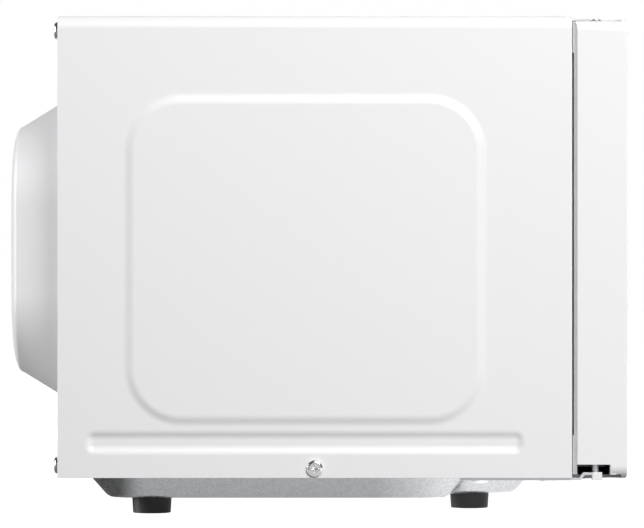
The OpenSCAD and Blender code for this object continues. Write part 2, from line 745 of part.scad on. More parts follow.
coupler_r = 20;
module turntable_coupler() color([0.86, 0.84, 0.78]) translate([cav_cx, tt_y, 0]) {
    translate([0, 0, motor_top - 8.5]) cylinder(h = plate_z - fit - motor_top + 8.5, r = shaft_r);
    translate([0, 0, cav_z0 + 2]) cylinder(h = plate_z - fit - cav_z0 - 2, r = 9);
    for (i = [0:2]) rotate([0, 0, i * 120]) translate([0, -4, cav_z0 + 4]) {
        cube([coupler_r - 4, 8, plate_z - fit - cav_z0 - 4]);
        translate([coupler_r - 4, 4, 0]) cylinder(h = plate_z - fit - cav_z0 - 4, r = 4);
    }
}

wheel_z = cav_z0 + fit + wheel_r;
wheel_w = 7;
axle_r = 2;
ring_w = 5;
ring_r = track_r - wheel_w / 2 - 4.5;
module roller_ring() color([0.92, 0.92, 0.9]) translate([cav_cx, tt_y, wheel_z]) {
    translate([0, 0, -3]) linear_extrude(6) difference() {
        circle(ring_r + ring_w / 2);
        circle(ring_r - ring_w / 2);
    }
    translate([0, 0, -3]) linear_extrude(5) difference() {
        circle(30);
        circle(26);
    }
    for (i = [0:2]) rotate([0, 0, i * 120]) {
        rotate([0, 0, 60]) translate([28, -2.5, -3]) cube([ring_r - 28, 5, 4]);
        translate([ring_r, 0, 0]) rotate([0, 90, 0]) cylinder(h = track_r + wheel_w / 2 + 0.8 - ring_r,
            r = axle_r);
        translate([track_r + wheel_w / 2 + 0.5, 0, 0]) rotate([0, 90, 0]) cylinder(h = 1.2,
            r1 = axle_r + 0.8, r2 = axle_r);
    }
}

module roller_wheel(i) color([0.9, 0.9, 0.88]) translate([cav_cx, tt_y, wheel_z]) rotate([0, 0, (i - 1)
    * 120])
    translate([track_r - wheel_w / 2, 0, 0]) rotate([0, 90, 0]) difference() {
        union() {
            translate([0, 0, 1]) cylinder(h = wheel_w - 2, r = wheel_r);
            cylinder(h = wheel_w, r = wheel_r - 1);
        }
        translate([0, 0, -1]) cylinder(h = wheel_w + 2, r = axle_r + run);
    }

plate_r = plate_d / 2;
module glass_plate() color([0.8, 0.88, 0.88, 0.5]) translate([cav_cx, tt_y, plate_z]) {
    rotate_extrude() polygon([[0, 0], [track_r + 8, 0], [plate_r - 3, 6], [plate_r, 11], [plate_r - 1, 13],
        [plate_r - 5, 10.6], [track_r + 6, 5], [0, 5]]);
    for (i = [0:2]) rotate([0, 0, 60 + i * 120]) translate([14, 0, -3]) cylinder(h = 4, r = 3.4);
}

// ---- hinges and fasteners ----

// the lower hinge: a flange under the cabinet, a stepped arm and the pin
module hinge_lower() color([0.74, 0.75, 0.76]) difference() {
    union() {
        box([pin_x - 4, y_cab, arm_low_z], [pin_x + 20, y_cab + 57, body_bottom]);
        sideways(pin_x - arm_half, pin_x + arm_half) polygon([
            [y_cab + 1, arm_low_z], [y_cab + 1, body_bottom], [pin_y + 8.5, body_bottom],
            [pin_y + 6.5, arm_high_z + arm_t], [pin_y, arm_high_z + arm_t], [pin_y, arm_high_z],
            [pin_y + 5.6, arm_high_z], [pin_y + 7.6, arm_low_z]]);
        translate([pin_x, pin_y, arm_high_z]) cylinder(h = arm_t, r = arm_half);
        translate([pin_x, pin_y, arm_high_z]) cylinder(h = notch_top - arm_high_z + pin_len, r = pin_r);
    }
    for (y = hinge_screw_ys) translate([hinge_screw_x, y, body_bottom]) cylinder(h = 6,
        r = screw_r + run, center = true);
}

// the nylon cap that closes the end of the lower arm
module hinge_cap() color([0.93, 0.93, 0.93]) difference() {
    box([pin_x - 3.4, pin_y - 3.3, arm_low_z], [pin_x + 3.4, pin_y + 1.8, arm_high_z + arm_t + 0.1]);
    translate([pin_x, pin_y, arm_high_z]) cylinder(h = arm_t + 1, r = arm_half);
    box([pin_x - arm_half, pin_y, arm_high_z], [pin_x + arm_half, pin_y + 5, arm_high_z + arm_t + 1]);
}

module hinge_upper() color([0.74, 0.75, 0.76]) {
    translate([pin_x, pin_y, upper_arm_z]) cylinder(h = upper_arm_t, r = arm_half);
    box([pin_x - 1.5, pin_y, upper_arm_z], [pin_x + 4.5, y_in + 1.2, upper_arm_z + upper_arm_t]);
    box([pin_x - 1.5, y_in, upper_arm_z - 14], [pin_x + 4.5, y_in + 1.2, upper_arm_z + upper_arm_t]);
    translate([pin_x, pin_y, upper_arm_z - pin_len]) cylinder(h = pin_len + eps, r = pin_r);
}

module hinge_screws() color([0.8, 0.8, 0.82]) for (y = hinge_screw_ys)
    translate([hinge_screw_x, y, arm_low_z]) rotate([180, 0, 0]) pan_screw(6);

module case_screws() color([0.8, 0.8, 0.82]) {
    at_side_screws() pan_screw(7);
    at_rear_screws() pan_screw(6);
}

// ---- latch ----

module latch_board() color([0.9, 0.89, 0.84]) difference() {
    union() {
        difference() {
            box([latch_x0, y_in, latch_z0], [latch_x0 + latch_w, y_in + latch_d, latch_z1]);
            box([latch_x0 + 2, y_in - 1, latch_z0 + 2], [latch_x0 + latch_w - 2, y_in + latch_d - 2,
                latch_z1 - 2]);
        }
        for (z = hook_zs) box([latch_x0 + 1, y_in + 6, z - hook_nose - fit - 6],
            [latch_x0 + latch_w - 1, y_in + 8.5, z - hook_nose - fit]);
    }
    translate([latch_x0 - 1, lever_y, lever_z]) rotate([0, 90, 0]) cylinder(h = latch_w + 2,
        r = lever_r + run);
}

// one sealed micro switch lying against the latch board
module micro_switch(z) {
    x = latch_x0 + latch_w;
    box([x, y_in + 3, z], [x + 10, y_in + 19, z + 28]);
    for (dz = [4, 13, 22]) box([x + 3, y_in + 19, z + dz], [x + 7, y_in + 25, z + dz + 0.8]);
}
module micro_switches() color([0.12, 0.12, 0.13]) for (z = [hook_zs[0] + 20, hook_zs[0] + 56,
    hook_zs[1] - 24]) micro_switch(z);

// the lever that the door button pushes: a cross shaft with a foot and a lifting finger
module release_lever() color([0.85, 0.84, 0.8]) translate([0, lever_y, lever_z]) {
    rise = hook_zs[0] - hook_nose - fit - lever_z;
    translate([latch_x0 - 2, 0, 0]) rotate([0, 90, 0])
        cylinder(h = lever_foot_x + lever_foot_w - latch_x0 + 2, r = lever_r);
    sideways(hook_x0 - 0.5, hook_x0 + hook_t + 0.5) polygon([
        [0, -2.5], [lever_lift_arm + 1, -2.5], [lever_lift_arm + 1, rise], [lever_lift_arm - 3, rise],
        [lever_lift_arm - 3, 2.5], [0, 2.5]]);
    sideways(lever_foot_x, lever_foot_x + lever_foot_w) polygon([
        [-2.5, 0], [-2.5, -lever_arm - 2.5], [2.5, -lever_arm - 2.5], [2.5, 0]]);
}

module lever_spring() color([0.7, 0.71, 0.72]) {
    translate([latch_x0 + latch_w, lever_y, lever_z]) rotate([0, 90, 0])
        coil_spring(lever_r + 1.3, 0.4, 4, lever_foot_x - latch_x0 - latch_w - 0.6);
}

// ---- controls ----

// a moulding with drafted top and bottom, given by its sides; one of them is rolled
module moulded(x0, x1, in, back) {
    r = max(roll_r - in, 0.5);
    z0 = door_z0 + in;
    z1 = door_z1 - in;
    hull() for (end = [0, 1]) {
        y = end == 0 ? y_front + in : y_door + back;
        shift = end == 0 ? draft : 0;
        round_plate(x0 + in, x1 - in, z0 + shift, z1 - shift, r, y, y + eps);
    }
}

function key_x(i) = panel_cx + ((i % key_cols) - (key_cols - 1) / 2) * key_pitch_x;
function key_z(i) = key_z0 + (key_rows - 1 - floor(i / key_cols)) * key_pitch_z;

module control_panel() color([0.92, 0.92, 0.93]) difference() {
    union() {
        difference() {
            moulded(panel_x0, panel_x1, 0, 0);
            moulded(panel_x0, panel_x1, wall, 1);
        }
        for (sx = [-1, 1], z = [board_z0() + 4, board_z1() - 4])
            translate([panel_cx + sx * (board_half - 2), y_front + wall - 0.5, z]) rotate([-90, 0, 0])
                cylinder(h = board_y - y_front - wall + 0.5, r = 2.2);
    }
    round_plate(panel_cx - display_w / 2 - seam, panel_cx + display_w / 2 + seam,
        display_z - display_h / 2 - seam, display_z + display_h / 2 + seam, 3, y_front - 1,
            y_front + wall + 1);
    for (i = [0:key_rows * key_cols - 1])
        round_plate(key_x(i) - key_w / 2 - fit, key_x(i) + key_w / 2 + fit, key_z(i) - key_h / 2 - fit,
            key_z(i) + key_h / 2 + fit, 3, y_front - 1, y_front + wall + 1);
    round_plate(panel_cx - button_w / 2 - fit, panel_cx + button_w / 2 + fit, button_z - button_h / 2 - fit,
        button_z + button_h / 2 + fit, 5, y_front - 1, y_front + wall + 1);
}

module display_window() color([0.08, 0.08, 0.1]) {
    round_plate(panel_cx - display_w / 2, panel_cx + display_w / 2, display_z - display_h / 2,
        display_z + display_h / 2, 2.8, y_front + 0.3, y_front + wall);
    round_plate(panel_cx - display_w / 2 - 3, panel_cx + display_w / 2 + 3, display_z - display_h / 2 - 3,
        display_z + display_h / 2 + 3, 3, y_front + wall, y_front + wall + 1);
}

function board_z0() = key_z0 - 14;
function board_z1() = display_z + display_h / 2 + 2;
key_back = y_front + wall + seam + 1.2;     // rear face of a key's flange
key_stem = 5.5;

module control_board() color([0.1, 0.35, 0.2]) {
    box([panel_cx - board_half, board_y, board_z0()], [panel_cx + board_half, board_y + board_t,
        board_z1()]);
    for (i = [0:key_rows * key_cols - 1]) translate([key_x(i), board_y, key_z(i)]) rotate([90, 0, 0]) {
        translate([-3, -3, 0]) cube([6, 6, 4]);
        cylinder(h = board_y - key_back - key_stem - key_travel - fit, r = 1.7);
    }
    box([panel_cx - 33, board_y - 8, display_z - 13], [panel_cx + 33, board_y, display_z + 13]);
    box([panel_cx - 12, board_y + board_t, key_z0 + 20], [panel_cx + 16, board_y + board_t + 17,
        key_z0 + 48]);
    box([panel_cx + 20, board_y + board_t, key_z0 + 6], [panel_cx + 34, board_y + board_t + 15,
        key_z0 + 34]);
}

module key(i) color([0.87, 0.87, 0.88]) {
    x = key_x(i - 1);
    z = key_z(i - 1);
    round_plate(x - key_w / 2, x + key_w / 2, z - key_h / 2, z + key_h / 2, 2.7, y_front + 0.2,
        y_front + wall + seam);
    round_plate(x - key_w / 2 - 2, x + key_w / 2 + 2, z - key_h / 2 - 2, z + key_h / 2 + 2, 2.7,
        y_front + wall + seam, key_back);
    translate([x, key_back, z]) rotate([-90, 0, 0]) cylinder(h = key_stem, r = 3);
}

module door_button() color([0.9, 0.9, 0.91]) {
    round_plate(panel_cx - button_w / 2, panel_cx + button_w / 2, button_z - button_h / 2,
        button_z + button_h / 2,
        4.7, y_front + 0.2, y_front + wall + seam);
    round_plate(panel_cx - button_w / 2 - 2, panel_cx + button_w / 2 + 2, button_z - button_h / 2 - 2,
        button_z + button_h / 2 + 2, 4.7, y_front + wall + seam, y_front + wall + seam + 1.8);
    for (z = [button_z - 8, button_z + 6]) box([panel_cx - button_w / 2 + 4, y_front + wall + seam + 1, z],
        [panel_cx + button_w / 2 - 4, y_front + wall + 10, z + 2]);
    box([lever_foot_x, y_front + wall + seam + 1, lever_z - lever_arm - 1.5],
        [panel_cx - button_w / 2 + 6, y_front + wall + 6, lever_z - lever_arm + 1.5]);
    box([lever_foot_x, y_front + wall + seam + 1, lever_z - lever_arm - 1.5],
        [lever_foot_x + lever_foot_w, lever_y - 2.5 - 2 * fit, lever_z - lever_arm + 1.5]);
}

// ---- door ----

// space around the hinge arms that the door must leave free
module hinge_space() {
    translate([pin_x, pin_y, door_z0 - 1]) cylinder(h = 1 + notch_top - door_z0 - 5.2, r = sweep_r);
    box([door_x0 - 1, pin_y - notch_front, door_z0 - 1], [pin_x + 6, pin_y + notch_back, notch_top]);
    translate([pin_x, pin_y, upper_arm_z - fit]) cylinder(h = 10, r = sweep_r);
}

module door_frame() color([0.93, 0.93, 0.94]) difference() {
    union() {
        difference() {
            moulded(door_x0, door_x1, 0, 0);
            moulded(door_x0, door_x1, wall, 1);
        }
        // bosses that the hinge pins turn in
        intersection() {
            moulded(door_x0, door_x1, 0.5, -eps);
            union() {
                box([door_x0, pin_y - notch_front - 3, door_z0], [inner_x0 - 1, y_door - eps,
                    notch_top + pin_len + 3]);
                box([door_x0, pin_y - notch_front - 3, upper_arm_z - pin_len - 4],
                    [inner_x0 - 1, y_door - eps, door_z1]);
            }
        }
        // seat behind the glass
        round_plate(glass_x0 - 3, glass_x1 + 3, glass_z0 - 3, glass_z1 + 3, glass_r + 3,
            y_front + wall - eps,
            y_front + glass_t + 2);
        // shelf that the hook spring bears on
        box([hook_x0 - 1, hook_bar_y0, hook_zs[1] + 37], [door_x1 - wall + eps, hook_bar_y1,
            hook_zs[1] + 39]);
    }
    round_plate(glass_x0 - seam, glass_x1 + seam, glass_z0 - seam, glass_z1 + seam, glass_r, y_front - 1,
        y_front + glass_t);
    round_plate(glass_x0 + glass_lip, glass_x1 - glass_lip, glass_z0 + glass_lip, glass_z1 - glass_lip,
        glass_r - 4, y_front - 1, y_front + 12);
    hinge_space();
    for (z = [notch_top - 1, upper_arm_z - pin_len - 0.5])
        translate([pin_x, pin_y, z]) cylinder(h = pin_len + 1.5, r = pin_r + run);
    // chamfer along the hinge side's rear edge
    translate([0, 0, door_z0 - 1]) linear_extrude(door_z1 - door_z0 + 2) polygon([
        [door_x0 - 1, y_door + 1], [door_x0 - 1, y_door - chamfer_y - chamfer_y / chamfer_x],
        [door_x0 + chamfer_x + chamfer_x / chamfer_y, y_door + 1]]);
}

module door_glass() color([0.05, 0.05, 0.06]) round_plate(glass_x0, glass_x1, glass_z0, glass_z1,
    glass_r - seam, y_front + 0.3, y_front + glass_t);

// a ring of rectangular outline in the XZ plane
module ring(in, out, y0, y1) {
    difference() {
        box([inner_x0 + in, y0, inner_z0 + in], [inner_x1 - in, y1, inner_z1 - in]);
        box([inner_x0 + out, y0 - 1, inner_z0 + out], [inner_x1 - out, y1 + 1, inner_z1 - out]);
    }
}

module door_panel() color([0.75, 0.76, 0.77]) {
    box([screen_x0 - sheet, y_door - skin_t - sheet, screen_z0 - sheet],
        [screen_x1 + sheet, y_door - skin_t, screen_z1 + sheet]);
    ring(choke_w - sheet, choke_w, y_door - choke_d, y_door - skin_t - sheet / 2);
    ring(0, choke_w, y_door - choke_d, y_door - choke_d + sheet);
    ring(0, sheet, y_door - choke_d, y_door - skin_t);
}

module choke_cover() color([0.2, 0.2, 0.21]) difference() {
    box([inner_x0 - 0.5, y_door - skin_t, inner_z0], [door_x1 - wall - seam, y_door, inner_z1]);
    box([screen_x0, y_door - skin_t - 1, screen_z0], [screen_x1, y_door + 1, screen_z1]);
    for (z = hook_zs) hook_slot(z, y_door - skin_t - 1, y_door + 1);
}

// the bar with its two hooks, and the pin that carries the spring
module door_hooks() color([0.86, 0.85, 0.82]) {
    sideways(hook_x0, hook_x0 + hook_t) for (z = hook_zs) polygon([
        [hook_bar_y1 - 1, z], [y_door + hook_reach - 5, z], [y_door + hook_reach - 5, z - hook_nose],
        [y_door + hook_reach - 1.5, z - hook_nose], [y_door + hook_reach, z - 1],
        [y_door + hook_reach, z + 2], [y_door + hook_reach - 4, z + hook_h], [hook_bar_y1 - 1,
            z + hook_h]]);
    box([hook_x0, hook_bar_y0, hook_zs[0] - 4], [hook_x0 + hook_t, hook_bar_y1, hook_zs[1] + 20]);
    translate([hook_x0 + hook_t / 2, (hook_bar_y0 + hook_bar_y1) / 2, hook_zs[1] + 19]) cylinder(h = 5,
        r = 1.1);
}

module hook_spring() color([0.7, 0.71, 0.72])
    translate([hook_x0 + hook_t / 2, (hook_bar_y0 + hook_bar_y1) / 2, hook_zs[1] + 20])
        coil_spring(1.9, 0.35, 6, 17);

cabinet_cover();
rear_panel();
base_pan();
rubber_feet();
front_plate();
oven_cavity();
mica_cover();
waveguide();
magnetron_yoke();
magnetron_fins();
magnetron_tube();
filter_box();
transformer_core();
transformer_windings();
hv_capacitor();
capacitor_clamp();
hv_diode();
fan_shroud();
fan_motor();
fan_blade();
air_duct();
lamp_holder();
oven_lamp();
thermal_cutout();
noise_filter();
cord_gland();
turntable_motor();
turntable_coupler();
roller_ring();
roller_wheel(1);  // roller_wheel_1
roller_wheel(2);  // roller_wheel_2
roller_wheel(3);  // roller_wheel_3
glass_plate();
hinge_lower();
hinge_upper();
hinge_cap();
hinge_screws();
case_screws();
latch_board();
micro_switches();
release_lever();
lever_spring();
control_panel();
display_window();
control_board();
key(1);  // key_1
key(2);  // key_2
key(3);  // key_3
key(4);  // key_4
key(5);  // key_5
key(6);  // key_6
key(7);  // key_7
key(8);  // key_8
door_button();
door_frame();
door_glass();
door_panel();
choke_cover();
door_hooks();
hook_spring();
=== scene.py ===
import math

import bmesh
import bpy
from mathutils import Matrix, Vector


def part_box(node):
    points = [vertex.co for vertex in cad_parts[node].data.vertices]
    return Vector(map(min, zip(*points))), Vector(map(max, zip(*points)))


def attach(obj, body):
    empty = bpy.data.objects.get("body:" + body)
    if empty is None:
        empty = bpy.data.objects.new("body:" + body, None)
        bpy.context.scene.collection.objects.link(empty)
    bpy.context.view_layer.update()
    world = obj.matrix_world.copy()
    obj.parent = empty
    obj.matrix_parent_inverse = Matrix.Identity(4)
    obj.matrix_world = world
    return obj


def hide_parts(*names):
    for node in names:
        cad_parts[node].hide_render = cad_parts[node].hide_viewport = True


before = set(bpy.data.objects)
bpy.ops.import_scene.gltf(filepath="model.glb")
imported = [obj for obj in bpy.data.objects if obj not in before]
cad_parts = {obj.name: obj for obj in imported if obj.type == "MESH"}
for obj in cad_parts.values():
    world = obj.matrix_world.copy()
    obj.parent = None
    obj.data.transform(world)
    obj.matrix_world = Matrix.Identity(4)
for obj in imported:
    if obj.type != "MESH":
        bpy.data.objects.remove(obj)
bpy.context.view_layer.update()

# ---------------------------------------------------------------------------
# Cabinet sheet. One pressed sheet of steel makes the top and both sides. A
# raised field stiffens each face, a long groove runs low on each side, the
# rear edge is folded in as a flange. It is powder painted in satin white.
# ---------------------------------------------------------------------------
sheet = 0.0008
plate_low, plate_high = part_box("front_plate")
cover_low, cover_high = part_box("cabinet_cover")
side_x = plate_high.x + sheet
top_z = plate_high.z + sheet
bottom_z = cover_low.z
front_y, rear_y = cover_low.y, cover_high.y
roll_r = 0.0067
roll_steps = 12
roll_z = top_z - roll_r
middle_y = (front_y + rear_y) / 2
same = 0.00002
field_bevel = 0.0034
field_out = cover_high.x - side_x
field_corner = 0.0285
corner_steps = 14
crease = 0.0011
margin = 0.0012
side_field = (front_y + 0.0448, rear_y - 0.0351, bottom_z + 0.0276, top_z - 0.041)
groove = (front_y + 0.0251, rear_y - 0.0149, bottom_z + 0.013, bottom_z + 0.0235)
groove_bevel = 0.0026
groove_depth = 0.0013
top_field = (front_y + 0.0515, rear_y - 0.0441, side_x - 0.045)
flange = 0.014


def begin(name, add, **place):
    """Add a primitive as a new piece, put its place into its mesh and open it."""
    bpy.ops.object.select_all(action="DESELECT")
    add(**place)
    piece = bpy.context.object
    piece.name = name
    piece.data.name = name
    bpy.ops.object.transform_apply(location=True, rotation=True, scale=True)
    bpy.ops.object.mode_set(mode="EDIT")
    return piece


def middle(item):
    """The middle of a corner, an edge or a face."""
    if isinstance(item, bmesh.types.BMVert):
        return item.co
    return sum((v.co for v in item.verts), Vector()) / len(item.verts)


def pick(kind, test):
    """Select only the corners, edges or faces of the open piece that pass a test."""
    bpy.ops.mesh.select_mode(type=kind)
    bpy.ops.mesh.select_all(action="DESELECT")
    mesh = bmesh.from_edit_mesh(bpy.context.object.data)
    for item in {"VERT": mesh.verts, "EDGE": mesh.edges, "FACE": mesh.faces}[kind]:
        if test(item):
            item.select_set(True)
    mesh.select_flush_mode()
    bmesh.update_edit_mesh(bpy.context.object.data)


def near(a, b, gap=0.0001):
    """Whether two lengths are the same, within a tenth of a millimetre unless it says otherwise."""
    return abs(a - b) < gap


def flat(centre, turn, width, length):
    """Add a flat face of this width and length, facing along X, Y or Z."""
    bpy.ops.mesh.primitive_plane_add(size=1, location=centre, rotation=turn)
    facing_y = near(abs(turn[0]), math.pi / 2)
    stretch = (1, length, width) if turn[1] else (width, 1, length) if facing_y else (width, length, 1)
    bpy.ops.transform.resize(value=stretch, center_override=centre)


def leaf(centre, turn, width, length, corner=0.0, steps=8, hole=False):
    """Add a flat face with rounded corners to the open piece, or only its outline."""
    bpy.ops.mesh.select_all(action="DESELECT")
    flat(centre, turn, width, length)
    if corner:
        bpy.ops.mesh.bevel(offset=corner, segments=steps, affect="VERTICES")
    if hole:
        bpy.ops.mesh.delete(type="ONLY_FACE")


def soften_creases(width, low, high, where=lambda edge: True, steps=3):
    """Round the shallow creases of a pressing."""
    def shallow(edge):
        return len(edge.link_faces) == 2 and low < math.degrees(edge.calc_face_angle()) < high and where(edge)
    pick("EDGE", shallow)
    bpy.ops.mesh.bevel(offset=width, segments=steps, profile=0.5, affect="EDGES")


def apply(piece, kind, **values):
    """Put a modifier on a piece and apply it."""
    bpy.ops.object.select_all(action="DESELECT")
    bpy.context.view_layer.objects.active = piece
    piece.select_set(True)
    modifier = piece.modifiers.new(kind.lower(), kind)
    for key, value in values.items():
        setattr(modifier, key, value)
    bpy.ops.object.modifier_apply(modifier=modifier.name)


def fillet(piece, width, angle=35, steps=2):
    """Round a piece's sharp edges and shade it smooth between them."""
    apply(piece, "BEVEL", width=width, segments=steps, limit_method="ANGLE", angle_limit=math.radians(angle),
          harden_normals=False)
    bpy.ops.object.shade_smooth_by_angle(angle=math.radians(30))
    apply(piece, "WEIGHTED_NORMAL", keep_sharp=True, weight=50)


def thicken(piece, wall):
    """Give an open shell its wall, inwards from the faces that are drawn."""
    bpy.ops.object.mode_set(mode="OBJECT")
    apply(piece, "SOLIDIFY", thickness=wall, offset=-1, use_quality_normals=True)


def press(bevel, out):
    """Draw the selected face in or out: a flat margin, a sloping edge and another flat margin."""
    bpy.ops.mesh.inset(thickness=margin)
    bpy.ops.mesh.inset(thickness=bevel, depth=out)
    bpy.ops.mesh.inset(thickness=margin)


def side_wall(side):
    """One side of the sheet with its raised field, its groove and its rolled top edge."""
    turn = (0, side * math.pi / 2, 0)
    y0, y1, z0, z1 = side_field
    g0, g1, h0, h1 = groove
    if side > 0:
        leaf((side * side_x, middle_y, (bottom_z + roll_z) / 2), turn, roll_z - bottom_z, rear_y - front_y,
             hole=True)
    leaf((side * side_x, (y0 + y1) / 2, (z0 + z1) / 2), turn, z1 - z0 + 2 * margin, y1 - y0 + 2 * margin,
         field_corner + margin, corner_steps)
    leaf((side * side_x, (g0 + g1) / 2, (h0 + h1) / 2), turn, h1 - h0 + 2 * margin, g1 - g0 + 2 * margin,
         groove_bevel + 2.2 * margin, 8)
    pick("EDGE", lambda edge: near(middle(edge).x, side * side_x))
    bpy.ops.mesh.fill(use_beauty=True)
    pick("FACE", lambda face: len(face.verts) > 8 and near(middle(face).z, (z0 + z1) / 2, 0.002)
         and middle(face).x * side > 0)
    press(field_bevel, field_out)
    pick("FACE", lambda face: len(face.verts) > 8 and near(middle(face).z, (h0 + h1) / 2, 0.002)
         and middle(face).x * side > 0)
    press(groove_bevel, -groove_depth)
    pick("EDGE", lambda edge: all(near(v.co.z, roll_z, same) and v.co.x * side > 0 for v in edge.verts))
    bpy.ops.mesh.spin(steps=roll_steps, angle=side * math.pi / 2, axis=(0, 1, 0),
                      center=(side * (side_x - roll_r), 0, roll_z))


cabinet_sheet = begin("cabinet_sheet", flat, centre=(-side_x, middle_y, (bottom_z + roll_z) / 2),
                      turn=(0, -math.pi / 2, 0), width=roll_z - bottom_z, length=rear_y - front_y)
bpy.ops.mesh.select_all(action="SELECT")
bpy.ops.mesh.delete(type="ONLY_FACE")
for side in (-1, 1):
    side_wall(side)
leaf((0, middle_y, top_z), (0, 0, 0), 2 * (side_x - roll_r), rear_y - front_y, hole=True)
leaf((0, (top_field[0] + top_field[1]) / 2, top_z), (0, 0, 0), 2 * (top_field[2] + margin),
     top_field[1] - top_field[0] + 2 * margin, field_corner + margin, corner_steps)
pick("EDGE", lambda edge: all(near(v.co.z, top_z, same) for v in edge.verts)
     and (len(edge.link_faces) == 0 or abs(middle(edge).x) < side_x - roll_r - 0.001))
bpy.ops.mesh.fill(use_beauty=True)
pick("FACE", lambda face: len(face.verts) > 8 and near(middle(face).z, top_z))
press(field_bevel, field_out)
bpy.ops.mesh.select_all(action="SELECT")
bpy.ops.mesh.remove_doubles(threshold=same)
soften_creases(crease, 12, 60)
pick("EDGE", lambda edge: len(edge.link_faces) == 1 and all(near(v.co.y, rear_y) for v in edge.verts))
bpy.ops.mesh.extrude_edges_move()
bpy.ops.transform.resize(value=(1 - flange / side_x, 1, 1 - flange / (top_z - bottom_z)),
                         center_override=(0, rear_y, bottom_z))
bpy.ops.mesh.select_all(action="SELECT")
bpy.ops.mesh.normals_make_consistent(inside=False)
thicken(cabinet_sheet, sheet)
fillet(cabinet_sheet, 0.0002, 50)


def maths(tree, operation, *values):
    """A maths node fed with numbers or with other nodes' outputs; it gives back its own output."""
    node = tree.nodes.new("ShaderNodeMath")
    node.operation = operation
    for socket, value in zip(node.inputs, values):
        if isinstance(value, bpy.types.NodeSocket):
            tree.links.new(value, socket)
        else:
            socket.default_value = value
    return node.outputs[0]


def moulded_surface():
    """A node group for coats and mouldings: fine grain and a slight cloudiness of tone and gloss."""
    group = bpy.data.node_groups.new("fine_surface", "ShaderNodeTree")
    for name, value in (("Colour", (0.8, 0.8, 0.8, 1)), ("Cloud Colour", (0.7, 0.7, 0.7, 1)),
                        ("Cloud Scale", 9.0), ("Cloud Amount", 0.3), ("Grain Scale", 900.0),
                        ("Roughness", 0.4), ("Roughness Spread", 0.08)):
        kind = "NodeSocketFloat" if isinstance(value, float) else "NodeSocketColor"
        group.interface.new_socket(name, in_out="INPUT", socket_type=kind).default_value = value
    for name, kind in (("Colour", "NodeSocketColor"), ("Roughness", "NodeSocketFloat"),
                       ("Height", "NodeSocketFloat")):
        group.interface.new_socket(name, in_out="OUTPUT", socket_type=kind)
    add, link = group.nodes.new, group.links.new
    given, out = add("NodeGroupInput"), add("NodeGroupOutput")
    place = add("ShaderNodeTexCoord")
    cloud, grain = add("ShaderNodeTexNoise"), add("ShaderNodeTexNoise")
    cloud.inputs["Detail"].default_value = 3
    grain.inputs["Detail"].default_value = 2
    for texture, scale in ((cloud, "Cloud Scale"), (grain, "Grain Scale")):
        link(place.outputs["Object"], texture.inputs["Vector"])
        link(given.outputs[scale], texture.inputs["Scale"])
    mix = add("ShaderNodeMix")
    mix.data_type = "RGBA"
    link(maths(group, "MULTIPLY", cloud.outputs["Fac"], given.outputs["Cloud Amount"]), mix.inputs["Factor"])
    link(given.outputs["Colour"], mix.inputs[6])
    link(given.outputs["Cloud Colour"], mix.inputs[7])
    gloss = maths(group, "MULTIPLY_ADD", cloud.outputs["Fac"], given.outputs["Roughness Spread"],
                  given.outputs["Roughness"])
    link(mix.outputs[2], out.inputs["Colour"])
    link(gloss, out.inputs["Roughness"])
    link(grain.outputs["Fac"], out.inputs["Height"])
    return group


fine_surface = moulded_surface()


def new_finish(name):
    """A new material with its node tree and its shader."""
    material = bpy.data.materials.new(name)
    material.use_nodes = True
    return material, material.node_tree, material.node_tree.nodes["Principled BSDF"]


def coated(name, colour, cloud_colour, roughness, grain_scale=900, grain_depth=0.00002, cloud=0.3,
           cloud_scale=9, spread=0.08, **sockets):
    """A painted or moulded finish made with the fine surface group."""
    material, tree, shader = new_finish(name)
    nodes, link = tree.nodes, tree.links.new
    group = nodes.new("ShaderNodeGroup")
    group.node_tree = fine_surface
    values = {"Colour": (*colour, 1), "Cloud Colour": (*cloud_colour, 1), "Cloud Scale": cloud_scale,
              "Cloud Amount": cloud, "Grain Scale": grain_scale, "Roughness": roughness,
              "Roughness Spread": spread}
    for key, value in values.items():
        group.inputs[key].default_value = value
    bump = nodes.new("ShaderNodeBump")
    bump.inputs["Distance"].default_value = grain_depth
    bump.inputs["Strength"].default_value = 0.6
    link(group.outputs["Colour"], shader.inputs["Base Color"])
    link(group.outputs["Roughness"], shader.inputs["Roughness"])
    link(group.outputs["Height"], bump.inputs["Height"])
    link(bump.outputs["Normal"], shader.inputs["Normal"])
    for key, value in sockets.items():
        shader.inputs[key.replace("_", " ").title().replace("Ior", "IOR")].default_value = value
    return material


def dress(piece, material):
    """Give a piece one finish."""
    piece.data.materials.clear()
    piece.data.materials.append(material)


white_paint = coated("white_powder_paint", (0.80, 0.80, 0.81), (0.76, 0.76, 0.775), 0.42, grain_scale=1400,
                     grain_depth=0.00003, cloud=0.25, cloud_scale=6, coat_weight=0.06, coat_roughness=0.3)
dress(cabinet_sheet, white_paint)
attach(cabinet_sheet, "cabinet")
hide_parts("cabinet_cover")

# ---------------------------------------------------------------------------
# Rear panel. A flat sheet closes the cabinet behind; a deep rounded bulge is
# drawn in it to clear the oven's rear wall and the stirred air. Punched slots
# let the fan's air out, and the same white paint covers it.
# ---------------------------------------------------------------------------
panel_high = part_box("rear_panel")[1]
panel_y = rear_y - sheet
oven_low, oven_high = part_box("oven_cavity")
bulge_x = (oven_low.x + oven_high.x) / 2
bulge_w, bulge_h, bulge_corner = 0.282, 0.1626, 0.057
bulge_z = bottom_z + 0.1177
bulge_lean = 0.63
bulge_turn = 0.0045
bulge_turn_in = 0.013
straight = panel_high.y - rear_y - bulge_turn
fan_low, fan_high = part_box("fan_shroud")
gland_low, gland_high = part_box("cord_gland")
fan_x, fan_z = (fan_low.x + fan_high.x) / 2, (fan_low.z + fan_high.z) / 2
vent_columns, vent_rows = 8, 3
vent_pitch, vent_rise = 0.012, 0.026
vent_w, vent_h = 0.004, 0.018
gland_seat_r = 0.008

